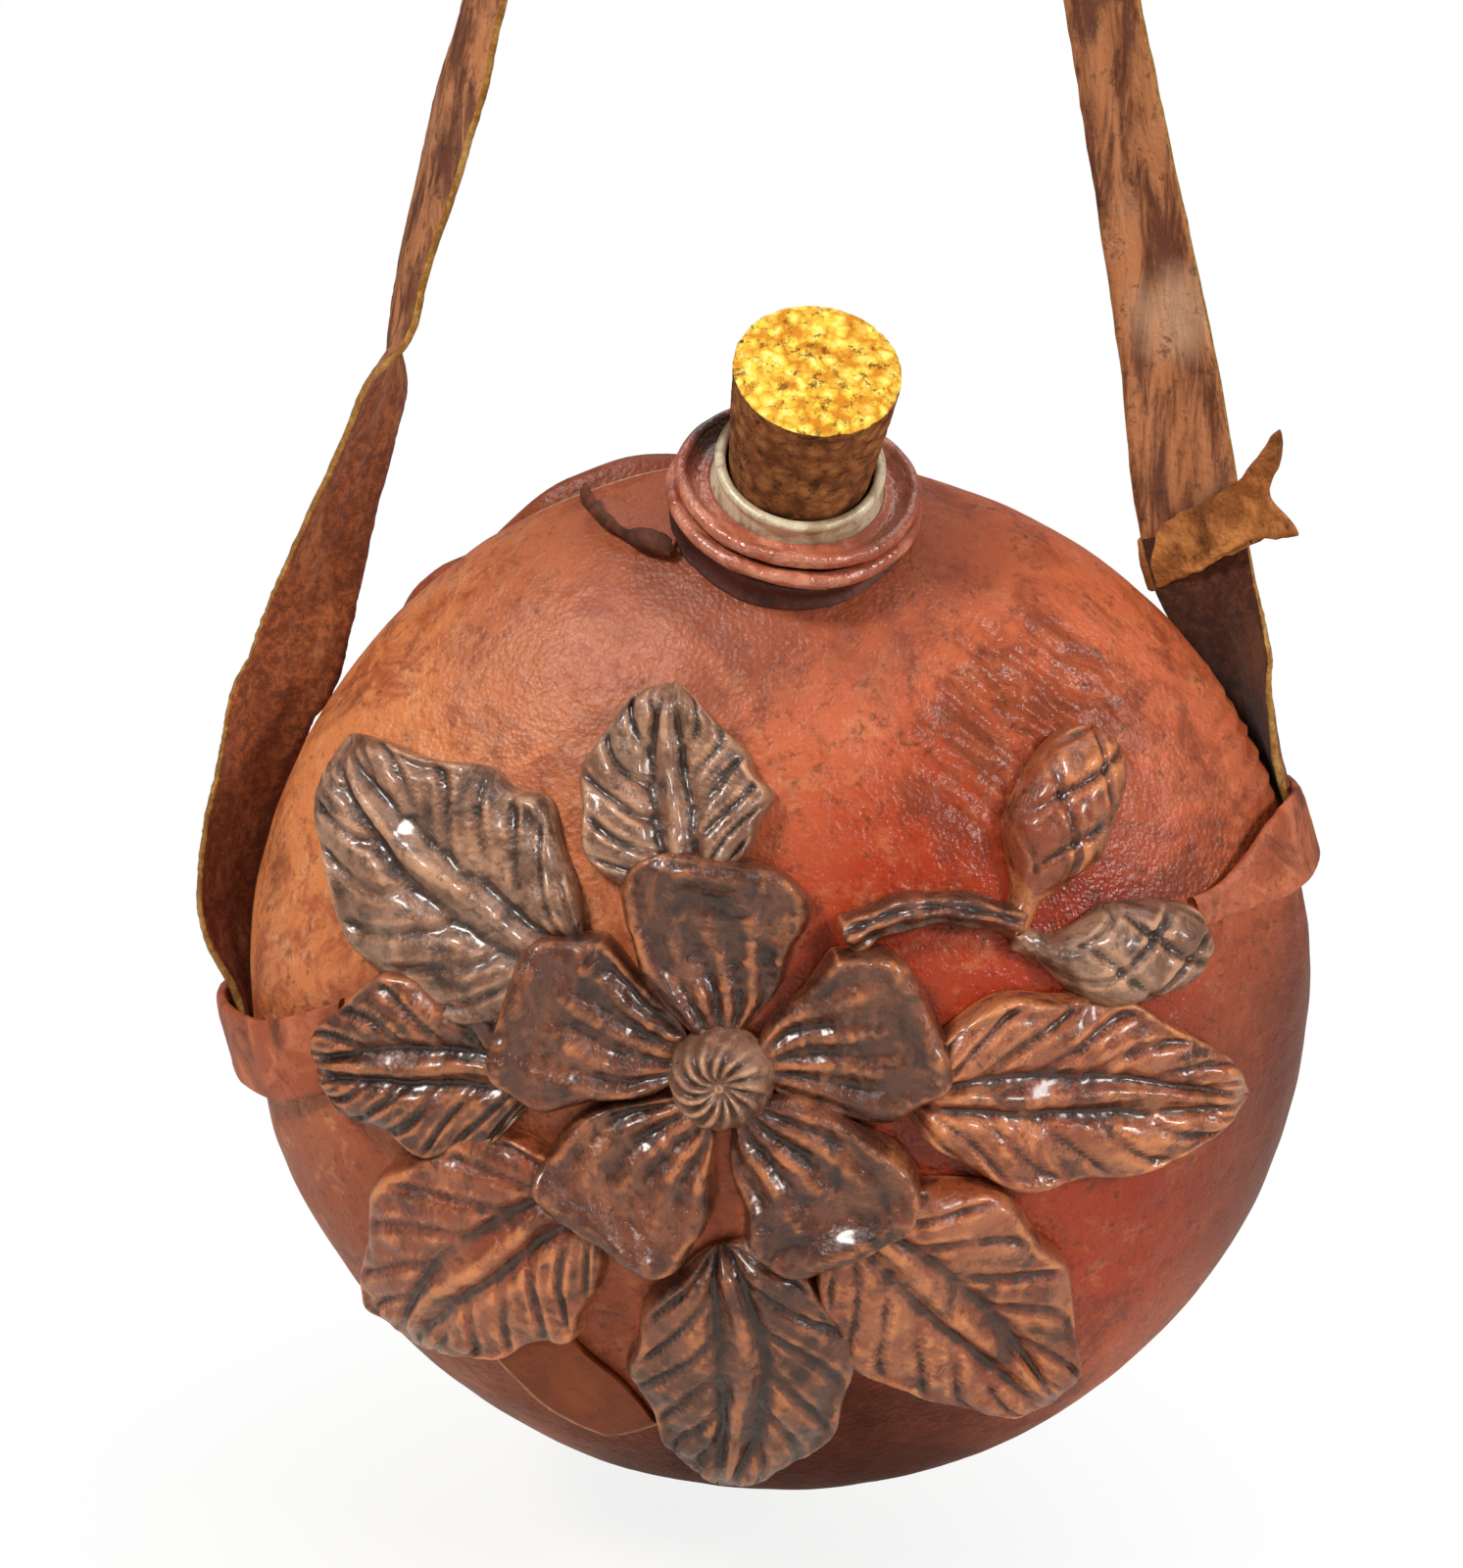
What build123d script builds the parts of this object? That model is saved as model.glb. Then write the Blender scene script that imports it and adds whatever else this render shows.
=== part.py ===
"""A gourd water bottle in a leather cover, hung by its shoulder strap.

The bottle is drawn about its own centre, with +X to the viewer's right, -Y to
the front and +Z up. Every piece is then moved so that the origin is the place
where the strap bears on its hook. All lengths are in millimetres.
"""
import math
import os

from build123d import *

# Bottle body, an evenly flattened gourd
body_radius = 107.0
body_half_depth = 55.0
cover_thickness = 3.0
gourd_wall = 5.0
skin_gap = 0.1
seam_setback = 4.0

# Clearances and cuts
seat_gap = 0.15
fit_gap = 0.35
overrun = 60.0

# Neck, measured along its axis from the leather
neck_foot_tilt = 40.0
neck_forward_tilt = 47.5
neck_side_lean = 9.0
neck_side_place = 1.4
ring_outer_radius = 15.4
ring_bore_radius = 13.6
ring_lip_height = 14.5
ring_depth_inside = 12.0
lip_overhang = 0.4
lip_height = 2.4
cork_top_radius = 14.7
cork_lip_radius = 13.3
cork_standing_height = 24.0
cork_plug_depth = 14.0
cork_edge_round = 0.6

# Collar of stacked leather rings
collar_radius = 23.5
collar_wall_setback = 1.7
collar_wall_height = 4.0
collar_wall_root = 9.0
collar_roll_width = 3.2
lower_roll_height = 3.6
upper_roll_height = 3.0
upper_roll_setback = 0.7
washer_thickness = 5.4
washer_dish = 1.2

# Torn flap that curls up beside the collar
flap_outer_radius = 3.6
flap_thickness = 1.5
flap_length = 14.0
flap_sweep = 250.0
flap_side_tilt = -15.5
flap_forward_tilt = 36.0
flap_swing = -38.0

# Leather loops at the sides, through which the strap ends pass
loop_thickness = 2.0
loop_height = 18.0
loop_foot_setback = 17.0
loop_end_setback = 21.0
left_loop_bulge = 6.5
right_loop_bulge = 4.8
left_loop_turn = -6.4
right_loop_turn = 17.5

# Shoulder strap
strap_width = 20.0
strap_thickness = 2.0
strap_seat_gap = 0.8
hook_offset = 12.0
hook_rise = 400.0
hook_radius = 6.0

# Each row is a place along a run of the strap, from its lower end upwards. Its height is a
# share of the body's radius up to 1, and beyond 1 a share of the way on to the hook. Then
# come the distance out as a share of the body's radius, the set to the back and the width
# as shares of the strap's width, and the turn of the flat in degrees.
left_run_shares = (
    (-0.1682, 1.0000, 0.00, 0.62, 0),
    (-0.0187, 1.0215, 0.00, 0.64, 0),
    (0.0748, 1.0439, 0.10, 0.80, -22),
    (0.1495, 1.0495, 0.15, 0.88, -30),
    (0.2271, 1.0402, 0.15, 0.92, -33),
    (0.3019, 1.0243, 0.15, 0.95, -35),
    (0.3776, 1.0019, 0.15, 0.95, -38),
    (0.4514, 0.9785, 0.15, 0.95, -45),
    (0.5262, 0.9533, 0.15, 0.95, -56),
    (0.6000, 0.9093, 0.10, 0.95, -64),
    (0.6729, 0.8841, 0.08, 0.93, -60),
    (0.7458, 0.8589, 0.05, 0.92, -51),
    (0.8907, 0.8075, 0.00, 0.87, -37),
    (1.0123, 0.7533, 0.00, 0.82, -26),
    (1.0478, 0.7178, 0.00, 0.80, -18),
    (1.0785, 0.6944, 0.00, 0.80, 18),
    (1.1160, 0.6710, 0.00, 0.80, 24),
    (1.1911, 0.6103, 0.00, 0.82, 33),
    (1.2403, 0.5720, 0.00, 0.84, 36),
    (1.2894, 0.5336, 0.00, 0.84, 32),
    (1.4812, 0.3701, 0.00, 0.82, 28),
    (1.7270, 0.1664, 0.00, 0.80, 16),
    (1.9181, 0.0075, 0.00, 0.80, 4),
)
right_low_run_shares = (
    (0.1944, 0.9971, 0.00, 0.56, 0),
    (0.3065, 0.9690, 0.00, 0.56, 0),
    (0.3888, 0.9400, 0.00, 0.57, 0),
    (0.4916, 0.9025, 0.05, 0.63, 5),
    (0.5757, 0.8701, 0.10, 0.80, 20),
    (0.6523, 0.8355, 0.10, 0.88, 42),
)
right_high_run_shares = (
    (0.7271, 0.7963, 0.10, 0.90, 66),
    (1.0744, 0.6991, 0.10, 0.85, 66),
    (1.1908, 0.6290, 0.05, 0.82, 60),
    (1.2894, 0.5682, 0.00, 0.78, 52),
    (1.4539, 0.4748, 0.00, 0.80, 44),
    (1.6587, 0.3589, 0.00, 0.80, 30),
    (1.8362, 0.2589, 0.00, 0.80, 12),
    (1.9317, 0.2047, 0.00, 0.80, 2),
)

# Keeper knotted round the right run of the strap
keeper_thickness = 2.0
keeper_height = 13.0
keeper_rise = 11.5
keeper_tail_reach = 9.5
keeper_tail_spread = 11.0
keeper_notch_reach = 3.6

# Extra panel at the lower left of the front
patch_thickness = 1.8
patch_shares = (
    (-0.686, -0.444),
    (-0.585, -0.600),
    (-0.458, -0.738),
    (-0.420, -0.752),
    (-0.341, -0.817),
    (-0.230, -0.812),
    (-0.190, -0.740),
    (-0.215, -0.560),
    (-0.480, -0.330),
)

# Blossom and leaves moulded in leather on the front
spray_left = 10.0
spray_drop = 2.0
button_radius = 8.6
button_height = 14.0
petal_count = 5
petal_root = 9.4
petal_reach = 37.0
petal_width = 28.0
petal_height = 11.0
petal_crown_radius = 34.0
leaf_root = 38.5
leaf_width = 37.0
leaf_height = 8.0
leaf_crown_radius = 62.0
stem_length = 21.0
stem_start_angle = 46.0
stem_knee_angle = 38.0
stem_end_angle = 27.0
stem_width = 7.0
stem_height = 6.0
stem_crown_radius = 46.0
bud_reach = 76.0
upper_bud_angle = 37.0
upper_bud_lean = 62.0
lower_bud_angle = 15.5
lower_bud_lean = 3.0
bud_length = 25.0
bud_width = 17.0
bud_height = 11.0
bud_crown_radius = 22.0

# Outline of a leaf and of a petal: share of the length, then of the width, to each side
leaf_shares = ((0.10, 0.20), (0.38, 0.48), (0.74, 0.34))
petal_shares = ((0.12, 0.22), (0.45, 0.42), (0.80, 0.47), (0.96, 0.24))

# Direction of each leaf in degrees, its reach, its share of the width and its sideways bend
leaves = {
    "leaf_top": (97, 68.0, 0.80, 3.0),
    "leaf_upper_left": (141, 85.0, 1.05, 6.0),
    "leaf_left": (184, 73.0, 0.80, -3.0),
    "leaf_lower_left": (226, 86.0, 1.05, -6.0),
    "leaf_bottom": (269, 88.0, 1.00, 5.0),
    "leaf_lower_right": (311, 94.0, 1.00, 2.0),
    "leaf_right": (354, 96.0, 0.92, 2.0),
}

hang = Location((-hook_offset, 0, -hook_rise))


def spheroid(growth):
    """The outside of the leather body, moved out by growth all round."""
    radius = body_radius + growth
    half_depth = body_half_depth + growth
    seam_at_back = Rot(0, 0, 90) * Sphere(1)
    return scale(seam_at_back, by=(radius, half_depth, radius))


def tangent_plane(normal, growth):
    """The plane that touches the body where its outside faces along normal."""
    normal = normal.normalized()
    width_square = body_radius**2
    depth_square = body_half_depth**2
    scaled = Vector(width_square * normal.X, depth_square * normal.Y, width_square * normal.Z)
    support = math.sqrt(scaled.dot(normal))
    level = Vector(0, 1, 0).cross(normal)
    return Plane(origin=scaled * (1 / support) + normal * growth, x_dir=level, z_dir=normal)


def neck_plane():
    """The collar's own plane on the front shoulder, with the neck's axis as its normal."""
    foot_tilt = math.radians(neck_foot_tilt)
    aside = math.cos(foot_tilt) * math.tan(math.radians(neck_side_place))
    foot = tangent_plane(Vector(aside, -math.sin(foot_tilt), math.cos(foot_tilt)), 0).origin
    tilt = math.radians(neck_forward_tilt)
    lean = math.cos(tilt) * math.tan(math.radians(neck_side_lean))
    axis = Vector(lean, -math.sin(tilt), math.cos(tilt)).normalized()
    return Plane(origin=foot, x_dir=Vector(0, 1, 0).cross(axis), z_dir=axis)


def turned(outline):
    """A solid turned about the neck's axis from a closed outline of radius and height."""
    profile = make_face(Plane.XZ * Polyline(*outline, close=True))
    return neck_plane().location * revolve(profile, Axis.Z, 360)


def neck_hole():
    """The hole through leather and gourd that the mouth ring goes into."""
    radius = ring_outer_radius + seat_gap
    hole = Cylinder(radius, overrun)
    return neck_plane().location * Pos(0, 0, -ring_depth_inside + overrun / 4) * hole


def gourd_shell():
    """The dried gourd, hollow, with its mouth cut in the front shoulder."""
    outside = spheroid(-cover_thickness - skin_gap)
    inside = spheroid(-cover_thickness - skin_gap - gourd_wall)
    return outside - inside - neck_hole()


def half_space(front):
    """A box on one side of the seam between the two covers."""
    depth = body_half_depth + overrun
    width = body_radius + overrun
    shift = seam_setback - depth / 2 if front else seam_setback + depth / 2
    return Pos(0, shift, 0) * Box(2 * width, depth, 2 * width)


def cover(front):
    """One half of the leather cover, moulded over the gourd."""
    skin = spheroid(0) - spheroid(-cover_thickness)
    if front:
        skin = skin - neck_hole()
    return skin & half_space(front)


def mouth_ring():
    """The ring that lines the mouth, with a rounded lip on top."""
    lip_radius = ring_outer_radius + lip_overhang
    shoulder = ring_lip_height - lip_height
    wall_middle = (ring_bore_radius + lip_radius) / 2
    edge = lip_height / 4
    return turned((
        (ring_bore_radius, -ring_depth_inside),
        (ring_outer_radius, -ring_depth_inside),
        (ring_outer_radius, shoulder - edge),
        (lip_radius, shoulder),
        (lip_radius, ring_lip_height - edge),
        (wall_middle, ring_lip_height),
        (ring_bore_radius, ring_lip_height - edge),
    ))


def cork_stopper():
    """The tapered cork, pushed into the mouth ring by part of its length."""
    foot = ring_lip_height - cork_plug_depth
    top = ring_lip_height + cork_standing_height
    taper = (cork_top_radius - cork_lip_radius) / cork_standing_height
    foot_radius = cork_lip_radius - taper * cork_plug_depth
    cork = turned((
        (0, foot),
        (foot_radius, foot),
        (cork_top_radius, top),
        (0, top),
    ))
    ends = cork.edges().filter_by(GeomType.CIRCLE)
    return chamfer(ends, cork_edge_round)


def collar_wall():
    """The lowest leather ring, shaped to the shoulder that it stands on."""
    inner = ring_outer_radius + fit_gap
    outer = collar_radius - collar_wall_setback
    wall = turned((
        (inner, -collar_wall_root),
        (outer, -collar_wall_root),
        (outer, collar_wall_height),
        (inner, collar_wall_height),
    ))
    return wall - spheroid(seat_gap)


def collar_roll(outer_radius, foot, height):
    """One rolled leather ridge of the collar, with a rounded section."""
    middle = outer_radius - collar_roll_width / 2
    centre = foot + height / 2
    section = Plane.XZ * Pos(middle, centre) * Ellipse(collar_roll_width / 2, height / 2)
    return neck_plane().location * revolve(section, Axis.Z, 360)


def collar_washer():
    """The dished leather washer between the mouth ring and the ridges."""
    inner = ring_outer_radius + fit_gap
    outer = collar_radius - upper_roll_setback - collar_roll_width - seat_gap
    foot = collar_wall_height + seat_gap
    return turned((
        (inner, foot),
        (outer, foot),
        (outer, foot + washer_thickness),
        (inner, foot + washer_thickness - washer_dish),
    ))


def collar_flap():
    """A torn tongue of leather that has curled over on itself."""
    side = math.radians(flap_side_tilt)
    forward = math.radians(flap_forward_tilt)
    normal = Vector(math.sin(side), -math.sin(forward), math.cos(forward))
    outer = flap_outer_radius
    inner = flap_outer_radius - flap_thickness
    arc_out = CenterArc((0, 0), outer, -90, flap_sweep)
    arc_in = CenterArc((0, 0), inner, -90, flap_sweep)
    section = make_face(
        arc_out + arc_in + Line(arc_out @ 0, arc_in @ 0) + Line(arc_out @ 1, arc_in @ 1)
    )
    curl = extrude(Plane.YZ * section, flap_length / 2, both=True)
    plane = tangent_plane(normal, outer + seat_gap)
    return plane.location * Rot(0, 0, flap_swing) * curl


def loop_band(side, bulge, turn):
    """A strip that stands off the side of the body and is let into both covers."""
    foot = body_radius - loop_foot_setback
    foot_depth = body_half_depth * math.sqrt(1 - (foot / body_radius) ** 2)
    inner_width = body_radius + bulge
    inner_depth = foot_depth / math.sqrt(1 - (foot / inner_width) ** 2)
    outer_width = inner_width + loop_thickness
    outer_depth = inner_depth + loop_thickness
    outer = extrude(Ellipse(outer_width, outer_depth), loop_height / 2, both=True)
    inner = extrude(Ellipse(inner_width, inner_depth), loop_height / 2, both=True)
    end = body_radius - loop_end_setback
    keep = Pos(end + overrun / 2, 0, 0) * Box(overrun, 2 * outer_depth, 2 * loop_height)
    band = (outer - inner) & keep
    band = Rot(0, -turn, 0) * band - spheroid(seat_gap)
    if side < 0:
        band = Rot(0, 0, 180) * band
    return band


def run_height(share):
    """A height beside the body, or above it on the way to the hook."""
    if share <= 1:
        return share * body_radius
    return body_radius + (share - 1) * (hook_rise - body_radius)


def run_places(side, shares):
    """The places along one run of the strap: point, width and turn of the flat."""
    places = []
    for height_share, out_share, setback_share, width_share, turn in shares:
        out = side * out_share * body_radius
        point = Vector(out, setback_share * strap_width, run_height(height_share))
        places.append((point, width_share * strap_width, turn))
    return places


def arch_places():
    """The places where the strap bends over its hook, from left to right."""
    bend_radius = hook_radius + strap_thickness / 2
    centre = Vector(hook_offset, 0, hook_rise - hook_radius)
    width = left_run_shares[-1][3] * strap_width
    places = []
    for angle in (160, 125, 90, 55, 20):
        out = Vector(math.cos(math.radians(angle)), 0, math.sin(math.radians(angle)))
        places.append((centre + out * bend_radius, width, 0))
    return places


def strap_section(before, place, after):
    """The strap's cross-section at a place, square to the line between its neighbours."""
    point, width, turn = place
    along = (after[0] - before[0]).normalized()
    across = along.cross(Vector(0, 1, 0)).normalized()
    angle = math.radians(turn)
    flat = Vector(0, math.cos(angle), 0) + across * math.sin(angle)
    plane = Plane(origin=point, x_dir=flat, z_dir=along)
    return plane * Rectangle(width, strap_thickness)


def strap_places():
    """Every place along the strap, from its left end over the hook to its right end."""
    left = run_places(-1, left_run_shares)
    right = run_places(1, right_low_run_shares + right_high_run_shares)
    mirrored = [(point, width, -turn) for point, width, turn in reversed(right)]
    return left + arch_places() + mirrored


def shoulder_strap():
    """One leather strip from the left loop, over the hook, to the right loop."""
    places = strap_places()
    sections = []
    for index, place in enumerate(places):
        before = places[max(index - 1, 0)]
        after = places[min(index + 1, len(places) - 1)]
        sections.append(strap_section(before, place, after))
    length = 0
    for first, second in zip(places, places[1:]):
        length += (second[0] - first[0]).length
    print("strap length", round(length))
    return loft(sections, ruled=True)


def keeper_plane():
    """The plane square to the strap where the keeper sits, with X across the strap."""
    lower, upper = run_places(1, right_high_run_shares[:2])
    low, width, turn = lower
    high = upper[0]
    along = (high - low).normalized()
    across = Vector(0, 1, 0).cross(along).normalized()
    angle = math.radians(turn)
    flat = across * math.sin(angle) - Vector(0, math.cos(angle), 0)
    return Plane(origin=low + along * keeper_rise, x_dir=flat, z_dir=along), width


def strap_keeper():
    """A strip wrapped round the strap, with a forked tail on the outer side."""
    plane, width = keeper_plane()
    slot_width = width + 2 * fit_gap
    slot_depth = strap_thickness + 2 * fit_gap
    wrap_width = slot_width + 2 * keeper_thickness
    wrap_depth = slot_depth + 2 * keeper_thickness
    wrap = Box(wrap_width, wrap_depth, keeper_height)
    far_edges = wrap.edges().filter_by(Axis.Z).group_by(Axis.X)[0]
    wrap = fillet(far_edges, keeper_thickness)
    side = wrap_width / 2
    half = keeper_height / 2
    upper_root = (side - 2 * keeper_thickness, half)
    lower_root = (side - 2 * keeper_thickness, -half)
    upper_tip = (side + keeper_tail_reach - keeper_thickness, half + keeper_tail_spread)
    lower_tip = (side + keeper_tail_reach, -half + keeper_thickness)
    notch = (side + keeper_notch_reach, half / 2)
    outline = make_face(
        Line(upper_root, upper_tip)
        + ThreePointArc(upper_tip, notch, lower_tip)
        + Line(lower_tip, lower_root)
        + Line(lower_root, upper_root)
    )
    front = -slot_depth / 2 - keeper_thickness
    tail = Pos(0, front, 0) * extrude(Plane.XZ * outline, -keeper_thickness)
    slot = Box(slot_width, slot_depth, 2 * keeper_height)
    return plane.location * (wrap + tail - slot)


def front_block(outline):
    """Everything in front of the middle plane under an outline drawn in X and Z."""
    return extrude(Plane.XZ * outline, body_half_depth + overrun)


def patch_block():
    """The lower left panel's outline as a block."""
    points = [(across * body_radius, up * body_radius) for across, up in patch_shares]
    return front_block(make_face(Polyline(*points, close=True)))


def side_patch():
    """The extra panel laid on the front cover at its lower left."""
    return (patch_block() & spheroid(patch_thickness)) - spheroid(seat_gap)


def moulded(outline, middle, height, crown_radius):
    """Leather moulded on the front under an outline, crowned about its middle."""
    across, up = middle
    share = (across**2 + up**2) / body_radius**2
    depth = -body_half_depth * math.sqrt(1 - share)
    slope = Vector(across / body_radius**2, depth / body_half_depth**2, up / body_radius**2)
    centre = Vector(across, depth, up) + slope.normalized() * (height - crown_radius)
    crown = Pos(centre) * Sphere(crown_radius)
    solid = front_block(outline) & crown & spheroid(height)
    solid = solid - spheroid(seat_gap)
    return solid - (patch_block() & spheroid(patch_thickness + seat_gap))


def spray_point(angle, reach):
    """A place in X and Z, given as a direction and distance from the blossom's centre."""
    direction = math.radians(angle)
    across = -spray_left + reach * math.cos(direction)
    up = -spray_drop + reach * math.sin(direction)
    return across, up


def leaf_outline(angle, root, reach, width, shares, bend):
    """A closed outline from root to tip, as wide on each side as shares say."""
    heading = math.radians(angle)
    along = (math.cos(heading), math.sin(heading))
    length = reach - root

    def place(length_share, side):
        """A point beside the rib, which bows sideways by bend at mid length."""
        sideways = side + bend * 4 * length_share * (1 - length_share)
        base = spray_point(angle, root + length_share * length)
        return base[0] - along[1] * sideways, base[1] + along[0] * sideways

    left = [place(share, half * width) for share, half in shares]
    right = [place(share, -half * width) for share, half in shares]
    start = place(0, 0)
    tip = place(1, 0)
    left_edge = Spline(start, *left, tip)
    right_edge = Spline(tip, *reversed(right), start)
    return make_face(left_edge + right_edge), place(0.5, 0)


def leaf(angle, reach, width_share, bend):
    """One large leaf that points away from the blossom."""
    width = leaf_width * width_share
    outline, middle = leaf_outline(angle, leaf_root, reach, width, leaf_shares, bend)
    return moulded(outline, middle, leaf_height, leaf_crown_radius)


def petal(index):
    """One of the blossom's petals."""
    angle = 90 + index * 360 / petal_count
    outline, middle = leaf_outline(angle, petal_root, petal_reach, petal_width, petal_shares, 0)
    return moulded(outline, middle, petal_height, petal_crown_radius)


def blossom_button():
    """The round button at the blossom's centre."""
    middle = spray_point(0, 0)
    outline = Pos(*middle) * Circle(button_radius)
    return moulded(outline, middle, button_height, button_height)


def bud_stem():
    """The bent stalk that carries the two buds, to the right of the blossom."""
    start = spray_point(stem_start_angle, leaf_root)
    knee = spray_point(stem_knee_angle, leaf_root + stem_length / 2)
    end = spray_point(stem_end_angle, leaf_root + stem_length)
    spine = ThreePointArc(start, knee, end)
    outline = trace(spine, stem_width)
    return moulded(outline, knee, stem_height, stem_crown_radius)


def bud(angle, lean):
    """A closed bud, longer than it is wide."""
    middle = spray_point(angle, bud_reach)
    outline = Pos(*middle) * Rot(0, 0, lean) * Ellipse(bud_length / 2, bud_width / 2)
    return moulded(outline, middle, bud_height, bud_crown_radius)


def build():
    """Every piece of the bottle by name."""
    pieces = {
        "gourd_shell": gourd_shell(),
        "front_cover": cover(True),
        "back_cover": cover(False),
        "side_patch": side_patch(),
        "mouth_ring": mouth_ring(),
        "cork_stopper": cork_stopper(),
        "collar_wall": collar_wall(),
        "collar_washer": collar_washer(),
        "collar_lower_roll": collar_roll(
            collar_radius, collar_wall_height + seat_gap, lower_roll_height
        ),
        "collar_upper_roll": collar_roll(
            collar_radius - upper_roll_setback,
            collar_wall_height + lower_roll_height + 2 * seat_gap,
            upper_roll_height,
        ),
        "collar_flap": collar_flap(),
        "left_loop": loop_band(-1, left_loop_bulge, left_loop_turn),
        "right_loop": loop_band(1, right_loop_bulge, right_loop_turn),
        "shoulder_strap": shoulder_strap(),
        "strap_keeper": strap_keeper(),
        "blossom_button": blossom_button(),
        "bud_stem": bud_stem(),
        "bud_upper": bud(upper_bud_angle, upper_bud_lean),
        "bud_lower": bud(lower_bud_angle, lower_bud_lean),
    }
    for index in range(petal_count):
        pieces[f"petal_{index + 1}"] = petal(index)
    for name, shape in leaves.items():
        pieces[name] = leaf(*shape)
    return pieces


os.makedirs("parts", exist_ok=True)
for node, solid in build().items():
    export_step(hang * solid, f"parts/{node}.step")
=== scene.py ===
"""The leather-covered gourd bottle, dressed for its picture.

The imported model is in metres. Its origin is where the strap bears on its hook, -Y is the
front and +Z is up. The pieces here are drawn in millimetres about the bottle's centre,
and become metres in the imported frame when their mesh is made.
"""
import math

import bmesh
import bpy
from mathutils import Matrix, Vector, noise


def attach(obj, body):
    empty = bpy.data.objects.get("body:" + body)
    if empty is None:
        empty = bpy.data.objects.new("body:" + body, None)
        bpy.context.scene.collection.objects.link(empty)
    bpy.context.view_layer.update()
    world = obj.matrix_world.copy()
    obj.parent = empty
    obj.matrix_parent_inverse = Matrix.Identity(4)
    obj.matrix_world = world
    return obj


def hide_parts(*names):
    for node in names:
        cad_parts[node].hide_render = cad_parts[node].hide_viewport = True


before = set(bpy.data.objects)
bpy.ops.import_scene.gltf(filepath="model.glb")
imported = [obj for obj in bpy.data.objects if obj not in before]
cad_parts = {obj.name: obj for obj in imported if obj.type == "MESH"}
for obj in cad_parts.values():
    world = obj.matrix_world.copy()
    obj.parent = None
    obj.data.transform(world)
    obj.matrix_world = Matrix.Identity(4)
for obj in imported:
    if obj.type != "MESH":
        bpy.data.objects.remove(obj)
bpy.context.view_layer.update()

# Places and sizes of the bottle
mm = 0.001
bottle_centre = Vector((-12, 0, -400))
body_radius = 107.0
body_half_depth = 55.0
cover_thickness = 2.4
hook_rise = 400.0
hook_offset = 12.0
hook_radius = 6.0
strap_width = 20.0
strap_thickness = 2.0

# Neck, measured along its axis from the leather
neck_foot = Vector((2.40, -21.78, 98.23))
neck_axis = Vector((0.1064, -0.7331, 0.6718)).normalized()
neck_across = Vector((0, 1, 0)).cross(neck_axis).normalized()
neck_up = neck_axis.cross(neck_across).normalized()
neck_hole_radius = 17.2
neck_hole_depth = 14.0
ring_foot_radius = 16.0
ring_lip_height = 14.5
# A spot at the ring's back left, by the collar, about which the ring and the collar are darkened
ring_dark_spot = neck_foot + neck_axis * 9 - neck_across * 15 + neck_up * 9
collar_lean = math.radians(10.0)
collar_pivot = 8.0
collar_drop = 0.9

# Spots on the covers' leather
wrinkle_spot = Vector((46, -39, 59))
drawn_spot = Vector((92, -14, 52))
loop_spot = Vector((-106, -2, -12))
groove_spot = Vector((-77, -30, 44))
groove_across = Vector((0.42, 0, 0.91))

# The blossom's middle in X and Z, which the leaves and buds go out from
spray_middle = Vector((-10.0, -2.0))


# Mesh helpers

def mesh_object(name, points, faces, materials, indices=None):
    """A new smooth object from points in millimetres about the bottle's centre."""
    mesh = bpy.data.meshes.new(name)
    mesh.from_pydata([tuple((bottle_centre + Vector(p)) * mm) for p in points], [], faces)
    for material in materials:
        mesh.materials.append(material)
    if indices:
        mesh.polygons.foreach_set("material_index", indices)
    mesh.polygons.foreach_set("use_smooth", [True] * len(mesh.polygons))
    mesh.update()
    piece = bpy.data.objects.new(name, mesh)
    bpy.context.collection.objects.link(piece)
    return piece


def grid_object(name, rows, columns, place, materials, wrap=False, caps=False, paint_of=None):
    """A grid whose points place gives by row and column, each as a share from 0 to 1."""
    last = rows - 1
    spans = columns if wrap else columns - 1
    points = [place(row / last, column / spans) for row in range(rows) for column in range(columns)]
    faces = []
    indices = []
    for row in range(last):
        low = row * columns
        high = low + columns
        for column in range(spans):
            after = (column + 1) % columns
            faces.append((low + column, low + after, high + after, high + column))
            indices.append(paint_of(row / last, column / columns) if paint_of else 0)
    if caps:
        faces.append(tuple(range(columns)))
        faces.append(tuple(range(rows * columns - 1, last * columns - 1, -1)))
        indices.extend((0, 0))
    return face_outwards(mesh_object(name, points, faces, materials, indices))


def edit_mesh(piece, change):
    """The piece with a change made to its mesh."""
    shape = bmesh.new()
    shape.from_mesh(piece.data)
    change(shape)
    shape.to_mesh(piece.data)
    shape.free()
    return piece


def face_outwards(piece):
    """Turns every face to the outside."""
    return edit_mesh(piece, lambda shape: bmesh.ops.recalc_face_normals(shape, faces=shape.faces))


def apply_modifiers(piece):
    """The piece with its modifiers worked into its mesh."""
    graph = bpy.context.evaluated_depsgraph_get()
    mesh = bpy.data.meshes.new_from_object(piece.evaluated_get(graph))
    piece.modifiers.clear()
    piece.data = mesh
    return piece


def soften(piece):
    """Subdivides a piece once to a smooth surface."""
    soft = piece.modifiers.new("round", "SUBSURF")
    soft.levels = 1
    soft.render_levels = 1
    return apply_modifiers(piece)


def thicken(piece, thickness, rim=0):
    """Gives a sheet its thickness on its inner side. The rim's material is rim places on."""
    sheet = piece.modifiers.new("thickness", "SOLIDIFY")
    sheet.thickness = thickness * mm
    sheet.offset = -1
    sheet.material_offset_rim = rim
    return apply_modifiers(piece)


def step(low, high, value):
    """Rises smoothly from 0 at low to 1 at high."""
    share = min(max((value - low) / (high - low), 0), 1)
    return share * share * (3 - 2 * share)


def plateau(value, start, full, fade, end):
    """Rises smoothly from 0 at start to 1 at full, and falls again from fade to 0 at end."""
    return step(start, full, value) * step(end, fade, value)


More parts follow.
